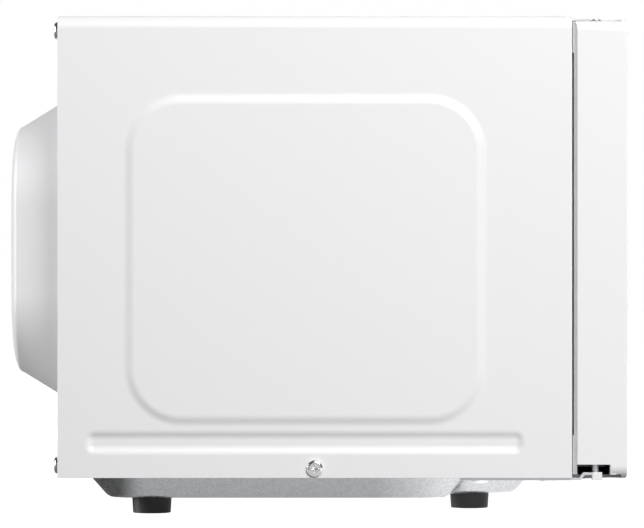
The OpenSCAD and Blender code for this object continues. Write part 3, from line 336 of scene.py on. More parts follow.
facing_back = (math.pi / 2, 0, math.pi)
rear_sheet = begin("rear_sheet", flat, centre=(0, panel_y, (bottom_z + panel_high.z) / 2), turn=facing_back,
                   width=2 * panel_high.x, length=panel_high.z - bottom_z)
pick("VERT", lambda v: near(v.co.z, panel_high.z))
bpy.ops.mesh.bevel(offset=roll_r - sheet, segments=6, affect="VERTICES")
bpy.ops.mesh.select_all(action="SELECT")
bpy.ops.mesh.delete(type="ONLY_FACE")
leaf((bulge_x, panel_y, bulge_z), facing_back, bulge_w, bulge_h, bulge_corner, 20)
for column in range(vent_columns):
    for row in range(vent_rows):
        vent = (fan_x + vent_pitch * (column - (vent_columns - 1) / 2), panel_y,
                fan_z + vent_rise * (row - (vent_rows - 1) / 2))
        leaf(vent, facing_back, vent_w, vent_h, vent_w / 2 - 0.0001, 4, hole=True)
leaf(((gland_low.x + gland_high.x) / 2, panel_y, (gland_low.z + gland_high.z) / 2), facing_back,
     2 * gland_seat_r, 2 * gland_seat_r, gland_seat_r - 0.00001, 10, hole=True)
bpy.ops.mesh.select_all(action="SELECT")
bpy.ops.mesh.fill(use_beauty=True)
pick("FACE", lambda face: len(face.verts) > 40)
bpy.ops.mesh.inset(thickness=0.0008, depth=0.0002)
bpy.ops.mesh.inset(thickness=straight * bulge_lean, depth=straight + sheet - 0.0002)
arc_steps = 8
for step in range(arc_steps):
    a0, a1 = math.pi / 2 * step / arc_steps, math.pi / 2 * (step + 1) / arc_steps
    bpy.ops.mesh.inset(thickness=bulge_turn_in * (math.cos(a0) - math.cos(a1)),
                       depth=bulge_turn * (math.sin(a1) - math.sin(a0)))
bpy.ops.mesh.inset(thickness=0.004, depth=0)
bpy.ops.mesh.select_all(action="SELECT")
bpy.ops.mesh.remove_doubles(threshold=same)
thicken(rear_sheet, sheet)
fillet(rear_sheet, 0.0003, 40)
dress(rear_sheet, white_paint)
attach(rear_sheet, "cabinet")
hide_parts("rear_panel")

# ---------------------------------------------------------------------------
# Base pan. A deep-drawn tray of spangled galvanised steel, wide behind and
# narrower in front, that carries everything. It is left unpainted; its edge
# is folded up inside the cabinet and screwed to it.
# ---------------------------------------------------------------------------
base_low, base_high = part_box("base_pan")
pan_z = base_low.z
rim_z = bottom_z
pan_deep = rim_z - pan_z
rib_slope, rib_rise = 0.0016, 0.0012
slot_pitch = 0.009
pan_slope = 0.011
rear_bowl = (side_x - 0.038 + pan_slope, front_y + 0.062 - pan_slope, rear_y - 0.0234 + pan_slope)
front_bowl = (side_x - 0.082 + pan_slope, front_y + 0.0252 - pan_slope)
bowl_corner, jog_corner = 0.027, 0.008
motor_cover_r = 0.031

down = (math.pi, 0, 0)
base_tray = begin("base_tray", flat, centre=(0, (rear_bowl[1] + rear_bowl[2]) / 2, rim_z), turn=down,
                  width=2 * rear_bowl[0], length=rear_bowl[2] - rear_bowl[1])
for side in (-1, 1):
    bpy.ops.mesh.select_all(action="SELECT")
    bpy.ops.mesh.bisect(plane_co=(side * front_bowl[0], 0, 0), plane_no=(1, 0, 0))
pick("EDGE", lambda edge: near(middle(edge).y, rear_bowl[1]) and near(middle(edge).x, 0))
bpy.ops.mesh.extrude_edges_move(TRANSFORM_OT_translate={"value": (0, front_bowl[1] - rear_bowl[1], 0)})
bpy.ops.mesh.select_all(action="SELECT")
bpy.ops.mesh.dissolve_faces()
pick("VERT", lambda v: near(v.co.y, rear_bowl[2]) and near(abs(v.co.x), front_bowl[0]))
bpy.ops.mesh.dissolve_verts()
pick("VERT", lambda v: near(abs(v.co.x), front_bowl[0]) and near(v.co.y, rear_bowl[1]))
bpy.ops.mesh.bevel(offset=jog_corner, segments=8, affect="VERTICES")
pick("VERT", lambda v: near(abs(v.co.x), rear_bowl[0]) or near(v.co.y, front_bowl[1]))
bpy.ops.mesh.bevel(offset=bowl_corner, segments=12, affect="VERTICES")
leaf((0, (base_low.y + base_high.y) / 2, rim_z), down, base_high.x - base_low.x,
     base_high.y - base_low.y, hole=True)
bpy.ops.mesh.select_all(action="SELECT")
bpy.ops.mesh.fill(use_beauty=True)
pick("FACE", lambda face: len(face.verts) > 20)
bpy.ops.mesh.inset(thickness=pan_slope, depth=pan_deep)

# ribs and a cover over the turntable's motor are pressed into its bottom, and a row of slots is punched
# through it
pick("FACE", lambda face: len(face.verts) > 20)
bpy.ops.mesh.delete(type="ONLY_FACE")
dish_low, dish_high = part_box("glass_plate")
oven_mid_x = (dish_low.x + dish_high.x) / 2
turntable_y = (dish_low.y + dish_high.y) / 2
leaf((oven_mid_x, turntable_y, pan_z), down, 2 * motor_cover_r, 2 * motor_cover_r,
     motor_cover_r - 0.00001, 16)
for x, length in ((-0.128, 0.104), (0.045, 0.150), (0.135, 0.104)):
    leaf((x, rear_y - 0.100, pan_z), down, 0.008, length, 0.00399, 8)
for column in range(9):
    leaf((0.064 + slot_pitch * column, front_y + 0.068, pan_z), down, 0.004, 0.034, 0.0019, 4, hole=True)
pick("EDGE", lambda edge: near(middle(edge).z, pan_z, 0.00005))
bpy.ops.mesh.fill(use_beauty=True)
bpy.ops.mesh.select_all(action="SELECT")
bpy.ops.mesh.normals_make_consistent(inside=False)
pick("FACE", lambda face: len(face.verts) > 20 and near(middle(face).z, pan_z))
bpy.ops.mesh.inset(thickness=rib_slope, depth=rib_rise)
bpy.ops.mesh.select_all(action="SELECT")
bpy.ops.mesh.remove_doubles(threshold=same)
soften_creases(0.0022, 20, 70, lambda edge: middle(edge).z < rim_z + 0.0001, 4)
pick("EDGE", lambda edge: len(edge.link_faces) == 1 and near(abs(middle(edge).x), base_high.x, 0.0002))
bpy.ops.mesh.extrude_edges_move(TRANSFORM_OT_translate={"value": (0, 0, base_high.z - rim_z)})
bpy.ops.mesh.select_all(action="SELECT")
bpy.ops.mesh.normals_make_consistent(inside=False)
thicken(base_tray, sheet)
fillet(base_tray, 0.00025, 50)


def galvanised(name, colour, dark, roughness=0.34, spangle=150, bare=0.6, gloss_spread=0.18):
    """Hot-dip galvanised steel: crystal spangles of slightly different tone, gloss and tilt."""
    material, tree, shader = new_finish(name)
    nodes, link = tree.nodes, tree.links.new
    shader.inputs["Metallic"].default_value = 1
    place = nodes.new("ShaderNodeTexCoord")
    wander = nodes.new("ShaderNodeTexNoise")
    wander.inputs["Scale"].default_value = 60
    stretch = nodes.new("ShaderNodeMix")
    stretch.data_type = "VECTOR"
    stretch.inputs["Factor"].default_value = 0.012
    crystal, speck = nodes.new("ShaderNodeTexVoronoi"), nodes.new("ShaderNodeTexVoronoi")
    crystal.inputs["Scale"].default_value = spangle
    speck.inputs["Scale"].default_value = spangle * 6
    link(place.outputs["Object"], stretch.inputs[4])
    link(place.outputs["Object"], wander.inputs["Vector"])
    link(wander.outputs["Color"], stretch.inputs[5])
    link(stretch.outputs[1], crystal.inputs["Vector"])
    link(place.outputs["Object"], speck.inputs["Vector"])
    tone, tone_fine, gloss = (nodes.new("ShaderNodeSeparateColor") for _ in range(3))
    link(crystal.outputs["Color"], tone.inputs["Color"])
    link(speck.outputs["Color"], tone_fine.inputs["Color"])
    link(crystal.outputs["Color"], gloss.inputs["Color"])
    both = maths(tree, "MULTIPLY_ADD", tone.outputs["Red"], bare,
                 maths(tree, "MULTIPLY", tone_fine.outputs["Green"], 1 - bare))
    colours = nodes.new("ShaderNodeMix")
    colours.data_type = "RGBA"
    colours.inputs[6].default_value = (*dark, 1)
    colours.inputs[7].default_value = (*colour, 1)
    link(both, colours.inputs["Factor"])
    bump = nodes.new("ShaderNodeBump")
    bump.inputs["Strength"].default_value = 0.35
    bump.inputs["Distance"].default_value = 0.00008
    link(both, bump.inputs["Height"])
    link(colours.outputs[2], shader.inputs["Base Color"])
    link(maths(tree, "MULTIPLY_ADD", gloss.outputs["Blue"], gloss_spread, roughness - gloss_spread / 2),
         shader.inputs["Roughness"])
    link(bump.outputs["Normal"], shader.inputs["Normal"])
    return material


galvanised_steel = galvanised("galvanised_steel", (0.80, 0.81, 0.82), (0.62, 0.63, 0.65), spangle=850)
dress(base_tray, galvanised_steel)
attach(base_tray, "cabinet")
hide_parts("base_pan")

# ---------------------------------------------------------------------------
# Rubber feet. Four moulded black feet pressed through the pan: a slightly
# tapered body with a rounded lip, a ring recess and a dimple underneath.
# ---------------------------------------------------------------------------
feet_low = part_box("rubber_feet")[0]
foot_r = 0.0104
foot_taper = 0.0005
foot_places = [(side * (side_x - 0.050), rear_y - 0.0463) for side in (-1, 1)] + \
    [(side * (side_x - 0.093), front_y + 0.0492) for side in (-1, 1)]
ring_steps = ((0.0022, 0), (0.0005, -0.0008), (0.0014, 0), (0.0005, 0.0008), (0.0012, 0), (0.0003, -0.0035))
foot = begin("rubber_foot", bpy.ops.mesh.primitive_cone_add, vertices=64, radius1=foot_r - foot_taper,
             radius2=foot_r, depth=pan_z - feet_low.z, location=(0, 0, (pan_z + feet_low.z) / 2))
pick("FACE", lambda face: face.normal.z < -0.9)
for inwards, up in ring_steps:
    bpy.ops.mesh.inset(thickness=inwards, depth=up)
pick("FACE", lambda face: face.normal.z > 0.9)
bpy.ops.mesh.inset(thickness=0.0008, depth=0)
bpy.ops.mesh.inset(thickness=0.0002, depth=-0.0004)
bpy.ops.mesh.inset(thickness=foot_r - 0.004)
bpy.ops.mesh.inset(thickness=0.0002, depth=0.0012)
bpy.ops.object.mode_set(mode="OBJECT")
fillet(foot, 0.0005, 40, 3)


def dusty_rubber():
    """Black rubber with a fine matt skin, greyer where dust has settled."""
    return coated("black_rubber", (0.018, 0.018, 0.019), (0.05, 0.05, 0.052), 0.34, grain_scale=2600,
                  grain_depth=0.00004, cloud=0.5, cloud_scale=160, spread=0.25)


black_rubber = dusty_rubber()
dress(foot, black_rubber)


def copy_to(piece, name, place, turn=(0, 0, 0)):
    """A copy of a piece with its own mesh, turned about the origin and then moved."""
    bpy.ops.object.select_all(action="DESELECT")
    twin = piece.copy()
    twin.data = piece.data.copy()
    twin.name = twin.data.name = name
    bpy.context.collection.objects.link(twin)
    twin.rotation_euler, twin.location = turn, place
    twin.select_set(True)
    bpy.context.view_layer.objects.active = twin
    bpy.ops.object.transform_apply(location=True, rotation=True, scale=True)
    return twin


for number, (x, y) in enumerate(foot_places, 1):
    twin = copy_to(foot, f"rubber_foot_{number}", (x, y, 0))
    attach(twin, "cabinet")
    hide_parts("rubber_feet")
bpy.data.objects.remove(foot)

# ---------------------------------------------------------------------------
# Case screws. Pan-head sheet-metal screws with a cross recess, bright zinc
# plated. One holds each side to the pan, four hold the rear panel, and two
# fix the lower hinge plate from below.
# ---------------------------------------------------------------------------
head_r, head_h, recess_half, recess_w = 0.0044, 0.0020, 0.0026, 0.0011
screw = begin("pan_head_screw", bpy.ops.mesh.primitive_cylinder_add, vertices=48, radius=head_r, depth=head_h,
              location=(0, 0, head_h / 2))
pick("EDGE", lambda edge: all(near(v.co.z, head_h) for v in edge.verts))
bpy.ops.mesh.bevel(offset=head_h * 0.8, segments=8, profile=0.5, affect="EDGES")
pick("FACE", lambda face: face.normal.z < -0.9)
bpy.ops.mesh.inset(thickness=head_r - 0.0017)
bpy.ops.mesh.extrude_region_move(TRANSFORM_OT_translate={"value": (0, 0, -0.005)})
bpy.ops.object.mode_set(mode="OBJECT")
recess = begin("cross_recess", bpy.ops.mesh.primitive_cube_add, size=1, location=(0, 0, head_h),
               scale=(2 * recess_half, recess_w, 0.0026))
pick("FACE", lambda face: face.normal.z < -0.9)
bpy.ops.transform.resize(value=(0.45, 0.6, 1), center_override=(0, 0, 0))
bpy.ops.object.mode_set(mode="OBJECT")
second = copy_to(recess, "cross_recess_2", (0, 0, 0), (0, 0, math.pi / 2))


def cut(piece, tool, mode="DIFFERENCE"):
    """Cut a tool out of a piece, or join it on, and remove the tool."""
    apply(piece, "BOOLEAN", object=tool, operation=mode, solver="EXACT")
    bpy.data.objects.remove(tool)


cut(recess, second, "UNION")
cut(screw, recess)
fillet(screw, 0.00012, 40)


def plated(name, colour, tint, roughness, scale=240, amount=0.5, depth=0.00001):
    """A bright plated metal: even colour with slight tint, handling haze and fine turning marks."""
    material = coated(name, colour, tint, roughness, grain_scale=scale * 9, grain_depth=depth, cloud=amount,
                      cloud_scale=scale, spread=0.16)
    material.node_tree.nodes["Principled BSDF"].inputs["Metallic"].default_value = 1
    return material


zinc_plate = plated("bright_zinc", (0.90, 0.90, 0.90), (0.78, 0.78, 0.80), 0.12)
dress(screw, zinc_plate)
case_places = [((side * side_x, front_y + 0.132, bottom_z + 0.0051), (0, side * math.pi / 2, 0))
               for side in (-1, 1)]
case_places += [((side * (side_x - 0.007), rear_y, z), (-math.pi / 2, 0, 0)) for side in (-1, 1)
                for z in (bottom_z + 0.0063, top_z - 0.0075)]
for number, (place, turn) in enumerate(case_places, 1):
    twin = copy_to(screw, f"case_screw_{number}", place, turn)
    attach(twin, "cabinet")
    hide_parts("case_screws")
hinge_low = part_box("hinge_lower")[0]
for number, y in enumerate((front_y + 0.0115, front_y + 0.0468), 1):
    twin = copy_to(screw, f"hinge_screw_{number}", (-side_x + 0.013, y, hinge_low.z), (math.pi, 0, 0))
    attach(twin, "cabinet")
    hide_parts("hinge_screws")
bpy.data.objects.remove(screw)

# ---------------------------------------------------------------------------
# Oven. A welded box of thin steel with a drawn bulge in its rear wall and a
# front plate around its mouth, sprayed inside with pale enamel. A mica sheet
# covers the wave guide's window.
# ---------------------------------------------------------------------------
def finish_nodes(material, *names):
    """Give CAD pieces whose shape stays their finish."""
    for name in names:
        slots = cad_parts[name].data.materials
        slots.clear()
        slots.append(material)


oven_enamel = coated("oven_enamel", (0.62, 0.62, 0.60), (0.56, 0.56, 0.54), 0.28, grain_scale=700,
                     grain_depth=0.00006, cloud=0.4, cloud_scale=14)
mica_sheet = coated("mica_sheet", (0.58, 0.50, 0.36), (0.44, 0.36, 0.24), 0.38, grain_scale=300,
                    grain_depth=0.00006, cloud=0.9, cloud_scale=120, spread=0.2)
facing_front = (math.pi / 2, 0, 0)
front_frame = begin("front_frame", flat, centre=(0, plate_low.y, (plate_low.z + plate_high.z) / 2),
                    turn=facing_front, width=plate_high.x - plate_low.x,
                    length=plate_high.z - plate_low.z)
pick("VERT", lambda v: near(v.co.z, plate_high.z))
bpy.ops.mesh.bevel(offset=roll_r - sheet, segments=6, affect="VERTICES")
bpy.ops.mesh.select_all(action="SELECT")
bpy.ops.mesh.delete(type="ONLY_FACE")
mouth_margin = 0.0025
mouth_turn = 0.0006
mouth = (oven_low.x + sheet, oven_high.x - sheet, oven_low.z + sheet, oven_high.z - sheet)
control_low, control_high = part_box("control_panel")
hooks_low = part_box("door_hooks")[0]
openings = [(mouth[0] - mouth_margin, mouth[1] + mouth_margin,
             mouth[2] - mouth_margin, mouth[3] + mouth_margin, 0.006),
            (control_low.x + 0.007, control_high.x - 0.009, bottom_z + 0.016, bottom_z + 0.212, 0.004)]
hook_zs = (bottom_z + 0.0553, bottom_z + 0.1753)
openings += [(hooks_low.x - 0.0007, hooks_low.x + 0.005, z - 0.0047, z + 0.0114, 0.0008) for z in hook_zs]
for x0, x1, z0, z1, corner in openings:
    leaf(((x0 + x1) / 2, plate_low.y, (z0 + z1) / 2), facing_front, x1 - x0, z1 - z0, corner, 6, hole=True)
bpy.ops.mesh.select_all(action="SELECT")
bpy.ops.mesh.fill(use_beauty=True)
pick("EDGE", lambda edge: len(edge.link_faces) == 1 and mouth[0] - 0.004 < middle(edge).x < mouth[1] + 0.004
     and mouth[2] - 0.004 < middle(edge).z < mouth[3] + 0.004)
bpy.ops.mesh.extrude_edges_move()
mouth_w, mouth_h = mouth[1] - mouth[0], mouth[3] - mouth[2]
bpy.ops.transform.resize(value=(1 - 2 * mouth_margin / mouth_w, 1, 1 - 2 * mouth_margin / mouth_h),
                         center_override=((mouth[0] + mouth[1]) / 2, 0, (mouth[2] + mouth[3]) / 2))
bpy.ops.transform.translate(value=(0, mouth_turn, 0))
bpy.ops.mesh.select_all(action="SELECT")
bpy.ops.mesh.normals_make_consistent(inside=False)
thicken(front_frame, sheet)
fillet(front_frame, 0.0002, 40)
dress(front_frame, white_paint)
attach(front_frame, "cabinet")
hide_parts("front_plate")
finish_nodes(oven_enamel, "oven_cavity")
finish_nodes(mica_sheet, "mica_cover")

# ---------------------------------------------------------------------------
# Power parts. The magnetron with its cooling fins, wave guide and filter box,
# the high-voltage transformer, its capacitor and diode stand behind the
# controls, as bought-in parts in plated steel, iron, copper and aluminium.
# ---------------------------------------------------------------------------
zinc_steel = plated("zinc_steel", (0.60, 0.61, 0.63), (0.48, 0.49, 0.52), 0.36, scale=90, amount=0.8,
                    depth=0.00002)
fin_aluminium = plated("fin_aluminium", (0.80, 0.81, 0.82), (0.70, 0.71, 0.73), 0.3, scale=180)
core_iron = coated("varnished_core_iron", (0.16, 0.13, 0.11), (0.09, 0.075, 0.065), 0.42, grain_scale=1200,
                   grain_depth=0.00015, cloud=0.8, cloud_scale=60, metallic=0.6)
copper_wire = coated("enamelled_copper_wire", (0.50, 0.19, 0.07), (0.33, 0.11, 0.04), 0.3, grain_scale=1600,
                     grain_depth=0.0003, cloud=0.8, cloud_scale=200, metallic=0.85)
ceramic = coated("unglazed_ceramic", (0.70, 0.64, 0.55), (0.60, 0.54, 0.46), 0.6, cloud_scale=80)
dark_plastic = coated("dark_moulded_plastic", (0.030, 0.031, 0.033), (0.05, 0.051, 0.054), 0.46,
                      grain_scale=1800, grain_depth=0.00004, cloud_scale=40)
finish_nodes(zinc_steel, "waveguide", "magnetron_yoke", "filter_box", "capacitor_clamp", "hv_capacitor")
finish_nodes(fin_aluminium, "magnetron_fins")
finish_nodes(ceramic, "magnetron_tube")
finish_nodes(core_iron, "transformer_core")
finish_nodes(copper_wire, "transformer_windings")
finish_nodes(dark_plastic, "hv_diode")

# ---------------------------------------------------------------------------
# Cooling and mains parts. A shaded-pole fan blows over the magnetron through a
# black duct, a lamp shines through small holes into the oven, a cut-out guards
# its wall, and the mains lead would come in through a rubber gland.
# ---------------------------------------------------------------------------
milky_nylon = coated("milky_nylon", (0.66, 0.64, 0.58), (0.58, 0.56, 0.50), 0.4, grain_scale=1200,
                     cloud_scale=50)
board_green = coated("circuit_board_green", (0.025, 0.14, 0.06), (0.05, 0.20, 0.10), 0.32, grain_scale=500,
                     grain_depth=0.0001, cloud=1.0, cloud_scale=320, spread=0.15)
lamp_glass = coated("frosted_lamp_glass", (0.86, 0.85, 0.80), (0.80, 0.79, 0.72), 0.25)
finish_nodes(dark_plastic, "fan_shroud", "air_duct", "thermal_cutout")
finish_nodes(black_rubber, "cord_gland")
finish_nodes(zinc_steel, "fan_motor", "lamp_holder")
finish_nodes(milky_nylon, "fan_blade")
finish_nodes(lamp_glass, "oven_lamp")
finish_nodes(board_green, "noise_filter")

# ---------------------------------------------------------------------------
# Turntable. A small geared motor under the floor turns a nylon coupler; the
# glass plate sits on it and rolls on three wheels held by a loose ring. The
# plate is pressed soda glass with a raised rim and three locating lugs.
# ---------------------------------------------------------------------------
finish_nodes(zinc_steel, "turntable_motor")
finish_nodes(milky_nylon, "turntable_coupler", "roller_ring", *(f"roller_wheel_{n}" for n in (1, 2, 3)))
dish_x, dish_y = oven_mid_x, turntable_y
dish_r = (dish_high.y - dish_low.y) / 2
lug_drop = 0.003
dish_z = dish_low.z + lug_drop
track_out = 0.100
lug_r, lug_ring_r = 0.0034, 0.014
rim_rings = ((dish_r - 0.003, 0.006), (dish_r, 0.011), (dish_r - 0.001, 0.013), (dish_r - 0.005, 0.0106),
             (track_out - 0.002, 0.005), (0.030, 0.005), (0.028, 0.0056))
dish = begin("glass_dish", bpy.ops.mesh.primitive_circle_add, vertices=128, radius=track_out,
             fill_type="NGON", location=(dish_x, dish_y, dish_z))
radius, height = track_out, 0.0
for ring_out, ring_up in rim_rings:
    grow = ring_out / radius
    bpy.ops.mesh.extrude_region_move(TRANSFORM_OT_translate={"value": (0, 0, ring_up - height)})
    bpy.ops.transform.resize(value=(grow, grow, 1), center_override=(dish_x, dish_y, 0))
    radius, height = ring_out, ring_up
bpy.ops.mesh.select_all(action="SELECT")
bpy.ops.mesh.normals_make_consistent(inside=False)
bpy.ops.object.mode_set(mode="OBJECT")
for number in range(3):
    turn = math.radians(60 + 120 * number)
    lug_place = (dish_x + lug_ring_r * math.cos(turn), dish_y + lug_ring_r * math.sin(turn), dish_z)
    lug = begin("dish_lug", bpy.ops.mesh.primitive_cylinder_add, vertices=32, radius=lug_r,
                depth=2 * lug_drop, location=lug_place)
    pick("FACE", lambda face: face.normal.z < -0.9)
    bpy.ops.mesh.bevel(offset=0.0008, segments=3, affect="EDGES")
    bpy.ops.object.mode_set(mode="OBJECT")
    cut(dish, lug, "UNION")
fillet(dish, 0.0009, 20, 3)
clear_glass = coated("pressed_clear_glass", (0.90, 0.96, 0.95), (0.88, 0.95, 0.94), 0.03, grain_scale=120,
                     grain_depth=0.00002, spread=0.03, transmission_weight=1.0, ior=1.5)
dress(dish, clear_glass)
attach(dish, "plate")
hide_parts("glass_plate")

# ---------------------------------------------------------------------------
# Latch. A moulded board behind the front plate carries the lever that the
# door button turns, its spring and three sealed switches that the door's
# hooks close.
# ---------------------------------------------------------------------------
spring_steel = plated("spring_steel", (0.52, 0.53, 0.56), (0.40, 0.41, 0.44), 0.28, scale=300)
finish_nodes(milky_nylon, "latch_board", "release_lever")
finish_nodes(spring_steel, "lever_spring")
finish_nodes(dark_plastic, "micro_switches")

# ---------------------------------------------------------------------------
# Control panel. A white moulding with a draft, rounded edges and a hollow
# back, with cut-outs for the display, eight soft keys and the door button.
# The circuit board behind carries the key switches and the display.
# ---------------------------------------------------------------------------
wall = 0.0024
draft = 0.0013
front_edge = 0.0011
moulded_front = control_low.y


def hollow_moulding(name, low, high):
    """A drafted box with rounded long edges, a softened front and a hollow back."""
    middle_x, depth = (low.x + high.x) / 2, high.y - low.y
    piece = begin(name, bpy.ops.mesh.primitive_cube_add, size=1, location=(low + high) / 2, scale=high - low)
    pick("FACE", lambda face: face.normal.y < -0.9)
    bpy.ops.transform.resize(value=(1, 1, 1 - 2 * draft / (high.z - low.z)),
                             center_override=(middle_x, low.y, (low.z + high.z) / 2))
    pick("EDGE", lambda edge: abs(edge.verts[0].co.y - edge.verts[1].co.y) > depth / 2)
    bpy.ops.mesh.bevel(offset=roll_r, segments=12, affect="EDGES")
    pick("FACE", lambda face: face.normal.y > 0.9)
    bpy.ops.mesh.inset(thickness=wall)
    bpy.ops.mesh.extrude_region_move(TRANSFORM_OT_translate={"value": (0, wall - depth, 0)})
    pick("EDGE", lambda edge: len(edge.link_faces) == 2
         and all(near(v.co.y, low.y, same) for v in edge.verts))
    bpy.ops.mesh.bevel(offset=front_edge, segments=4, affect="EDGES")
    bpy.ops.object.mode_set(mode="OBJECT")
    return piece


def plaque(name, x, z, width, height, corner, front, back, edge=0.0, grow=0.0):
    """A rounded plate that stands behind the front: a window, a key's cap or a tool that cuts its hole."""
    piece = begin(name, flat, centre=(x, back, z), turn=facing_front, width=width + 2 * grow,
                  length=height + 2 * grow)
    bpy.ops.mesh.bevel(offset=corner + grow, segments=8, affect="VERTICES")
    bpy.ops.mesh.extrude_region_move(TRANSFORM_OT_translate={"value": (0, front - back, 0)})
    bpy.ops.mesh.select_all(action="SELECT")
    bpy.ops.mesh.normals_make_consistent(inside=False)
    if edge:
        pick("EDGE", lambda item: all(near(v.co.y, front, same) for v in item.verts))
        bpy.ops.mesh.bevel(offset=edge, segments=4, affect="EDGES")
    bpy.ops.object.mode_set(mode="OBJECT")
    return piece


control_front = hollow_moulding("control_front", control_low, control_high)
panel_x = (control_low.x + control_high.x) / 2
key_w, key_h, key_corner = 0.034, 0.014, 0.0027
key_low, key_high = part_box("key_1")
key_places = []
for number in range(1, 9):
    low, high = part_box(f"key_{number}")
    key_places.append(((low.x + high.x) / 2, (low.z + high.z) / 2))
display_low, display_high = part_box("display_window")
display_flange, display_corner = 0.003, 0.0028
display_w = display_high.x - display_low.x - 2 * display_flange
display_h = display_high.z - display_low.z - 2 * display_flange
display_x, display_z = (display_low.x + display_high.x) / 2, (display_low.z + display_high.z) / 2
button_w, button_h, button_corner = 0.076, 0.028, 0.0047
button_z = bottom_z + 0.0273
through = (moulded_front - 0.002, moulded_front + 2 * wall)
key_gap, display_gap = 0.0003, 0.0002
for x, z in key_places:
    cut(control_front, plaque("key_hole", x, z, key_w, key_h, key_corner, *through, grow=key_gap))
cut(control_front, plaque("display_hole", display_x, display_z, display_w, display_h, display_corner,
                          *through, grow=display_gap))
cut(control_front, plaque("button_hole", panel_x, button_z, button_w, button_h, button_corner,
                          *through, grow=key_gap))
fillet(control_front, 0.00035, 50, 3)
white_plastic = coated("white_moulded_plastic", (0.81, 0.81, 0.814), (0.77, 0.77, 0.776), 0.42,
                       grain_scale=1500, grain_depth=0.00002, cloud=0.25, cloud_scale=7, spread=0.06,
                       coat_weight=0.1)
dress(control_front, white_plastic)
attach(control_front, "cabinet")
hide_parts("control_panel")

# each key has a dished cap, a flange behind the panel and a stem over its switch
grey_keys = coated("grey_soft_keys", (0.62, 0.62, 0.63), (0.56, 0.56, 0.575), 0.52, grain_scale=2200,
                   grain_depth=0.00004, cloud=0.35, cloud_scale=40)
key_front = key_low.y
key_shoulder = key_high.y - 0.0055 - 0.0012
for number, (x, z) in enumerate(key_places, 1):
    cap = plaque(f"key_cap_{number}", x, z, key_w, key_h, key_corner, key_front, key_shoulder, 0.0007)
    bpy.ops.object.mode_set(mode="EDIT")
    pick("FACE", lambda face: face.normal.y < -0.99 and face.calc_area() > key_w * key_h / 2)
    bpy.ops.mesh.inset(thickness=0.0007)
    bpy.ops.mesh.inset(thickness=0.0009, depth=-0.0002)
    bpy.ops.object.mode_set(mode="OBJECT")
    cut(cap, plaque("key_flange", x, z, key_w + 0.004, key_h + 0.004, key_corner, key_shoulder - 0.0001,
                    key_shoulder + 0.0012), "UNION")
    stem = begin("key_stem", bpy.ops.mesh.primitive_cylinder_add, vertices=32, radius=0.003, depth=0.006,
                 location=(x, key_high.y - 0.003, z), rotation=(math.pi / 2, 0, 0))
    pick("FACE", lambda face: face.normal.y > 0.9)
    bpy.ops.mesh.inset(thickness=0.0012)
    bpy.ops.mesh.inset(thickness=0.0002, depth=-0.001)
    bpy.ops.object.mode_set(mode="OBJECT")
    cut(cap, stem, "UNION")
    fillet(cap, 0.00012, 45)
    dress(cap, grey_keys)
    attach(cap, f"key_{number}")
    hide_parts(f"key_{number}")

# the display's window is smoked plastic with a flange that is stuck to the panel
display = plaque("display_cover", display_x, display_z, display_w, display_h, display_corner,
                 display_low.y, display_high.y - 0.0005,
                 0.0004)
cut(display, plaque("display_flange", display_x, display_z, display_w + 2 * display_flange,
                    display_h + 2 * display_flange,
                    0.003, display_high.y - 0.001, display_high.y), "UNION")
fillet(display, 0.0001, 45)
smoked_window = coated("smoked_display_plastic", (0.012, 0.012, 0.015), (0.02, 0.02, 0.025), 0.09,
                       grain_scale=60, grain_depth=0.00002, spread=0.05, coat_weight=0.6)
dress(display, smoked_window)
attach(display, "cabinet")
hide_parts("display_window")

# the door button is the widest cap, on ribs, with the arm that pushes the latch's lever
button_low, button_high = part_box("door_button")
button = plaque("door_button_cap", panel_x, button_z, button_w, button_h, button_corner, button_low.y,
                button_low.y + wall, 0.0009)
bpy.ops.object.mode_set(mode="EDIT")
pick("FACE", lambda face: face.normal.y < -0.99 and face.calc_area() > button_w * button_h / 2)
bpy.ops.mesh.inset(thickness=0.0016)
bpy.ops.mesh.inset(thickness=0.0016, depth=-0.0004)
bpy.ops.object.mode_set(mode="OBJECT")
cut(button, plaque("button_flange", panel_x, button_z, button_w + 0.004, button_h + 0.004, button_corner,
                   button_low.y + wall - 0.0001, button_low.y + wall + 0.0018), "UNION")


def bar(name, low, high, edge):
    """A square bar or block between two corners with softened edges."""
    low, high = Vector(low), Vector(high)
    piece = begin(name, bpy.ops.mesh.primitive_cube_add, size=1, location=(low + high) / 2, scale=high - low)
    bpy.ops.mesh.bevel(offset=edge, segments=2, affect="EDGES")
    bpy.ops.object.mode_set(mode="OBJECT")
    return piece


lever_low, lever_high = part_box("release_lever")
arm_x = (lever_high.x - 0.006, lever_high.x)
arm_z = (lever_low.z + 0.001, lever_low.z + 0.004)
behind_cap = button_low.y + wall + 0.001
for z in (button_z - 0.008, button_z + 0.006):
    cut(button, bar("button_rib", (panel_x - button_w / 2 + 0.004, behind_cap, z),
                    (panel_x + button_w / 2 - 0.004, behind_cap + 0.0088, z + 0.002), 0.0003), "UNION")
cut(button, bar("button_bridge", (arm_x[0], behind_cap, arm_z[0]),
                (panel_x - button_w / 2 + 0.006, behind_cap + 0.0048, arm_z[1]), 0.0003), "UNION")
cut(button, bar("button_arm", (arm_x[0], behind_cap, arm_z[0]), (arm_x[1], button_high.y, arm_z[1]),
                0.0003), "UNION")
fillet(button, 0.00015, 45)
dress(button, white_plastic)
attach(button, "button")
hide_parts("door_button")
finish_nodes(board_green, "control_board")

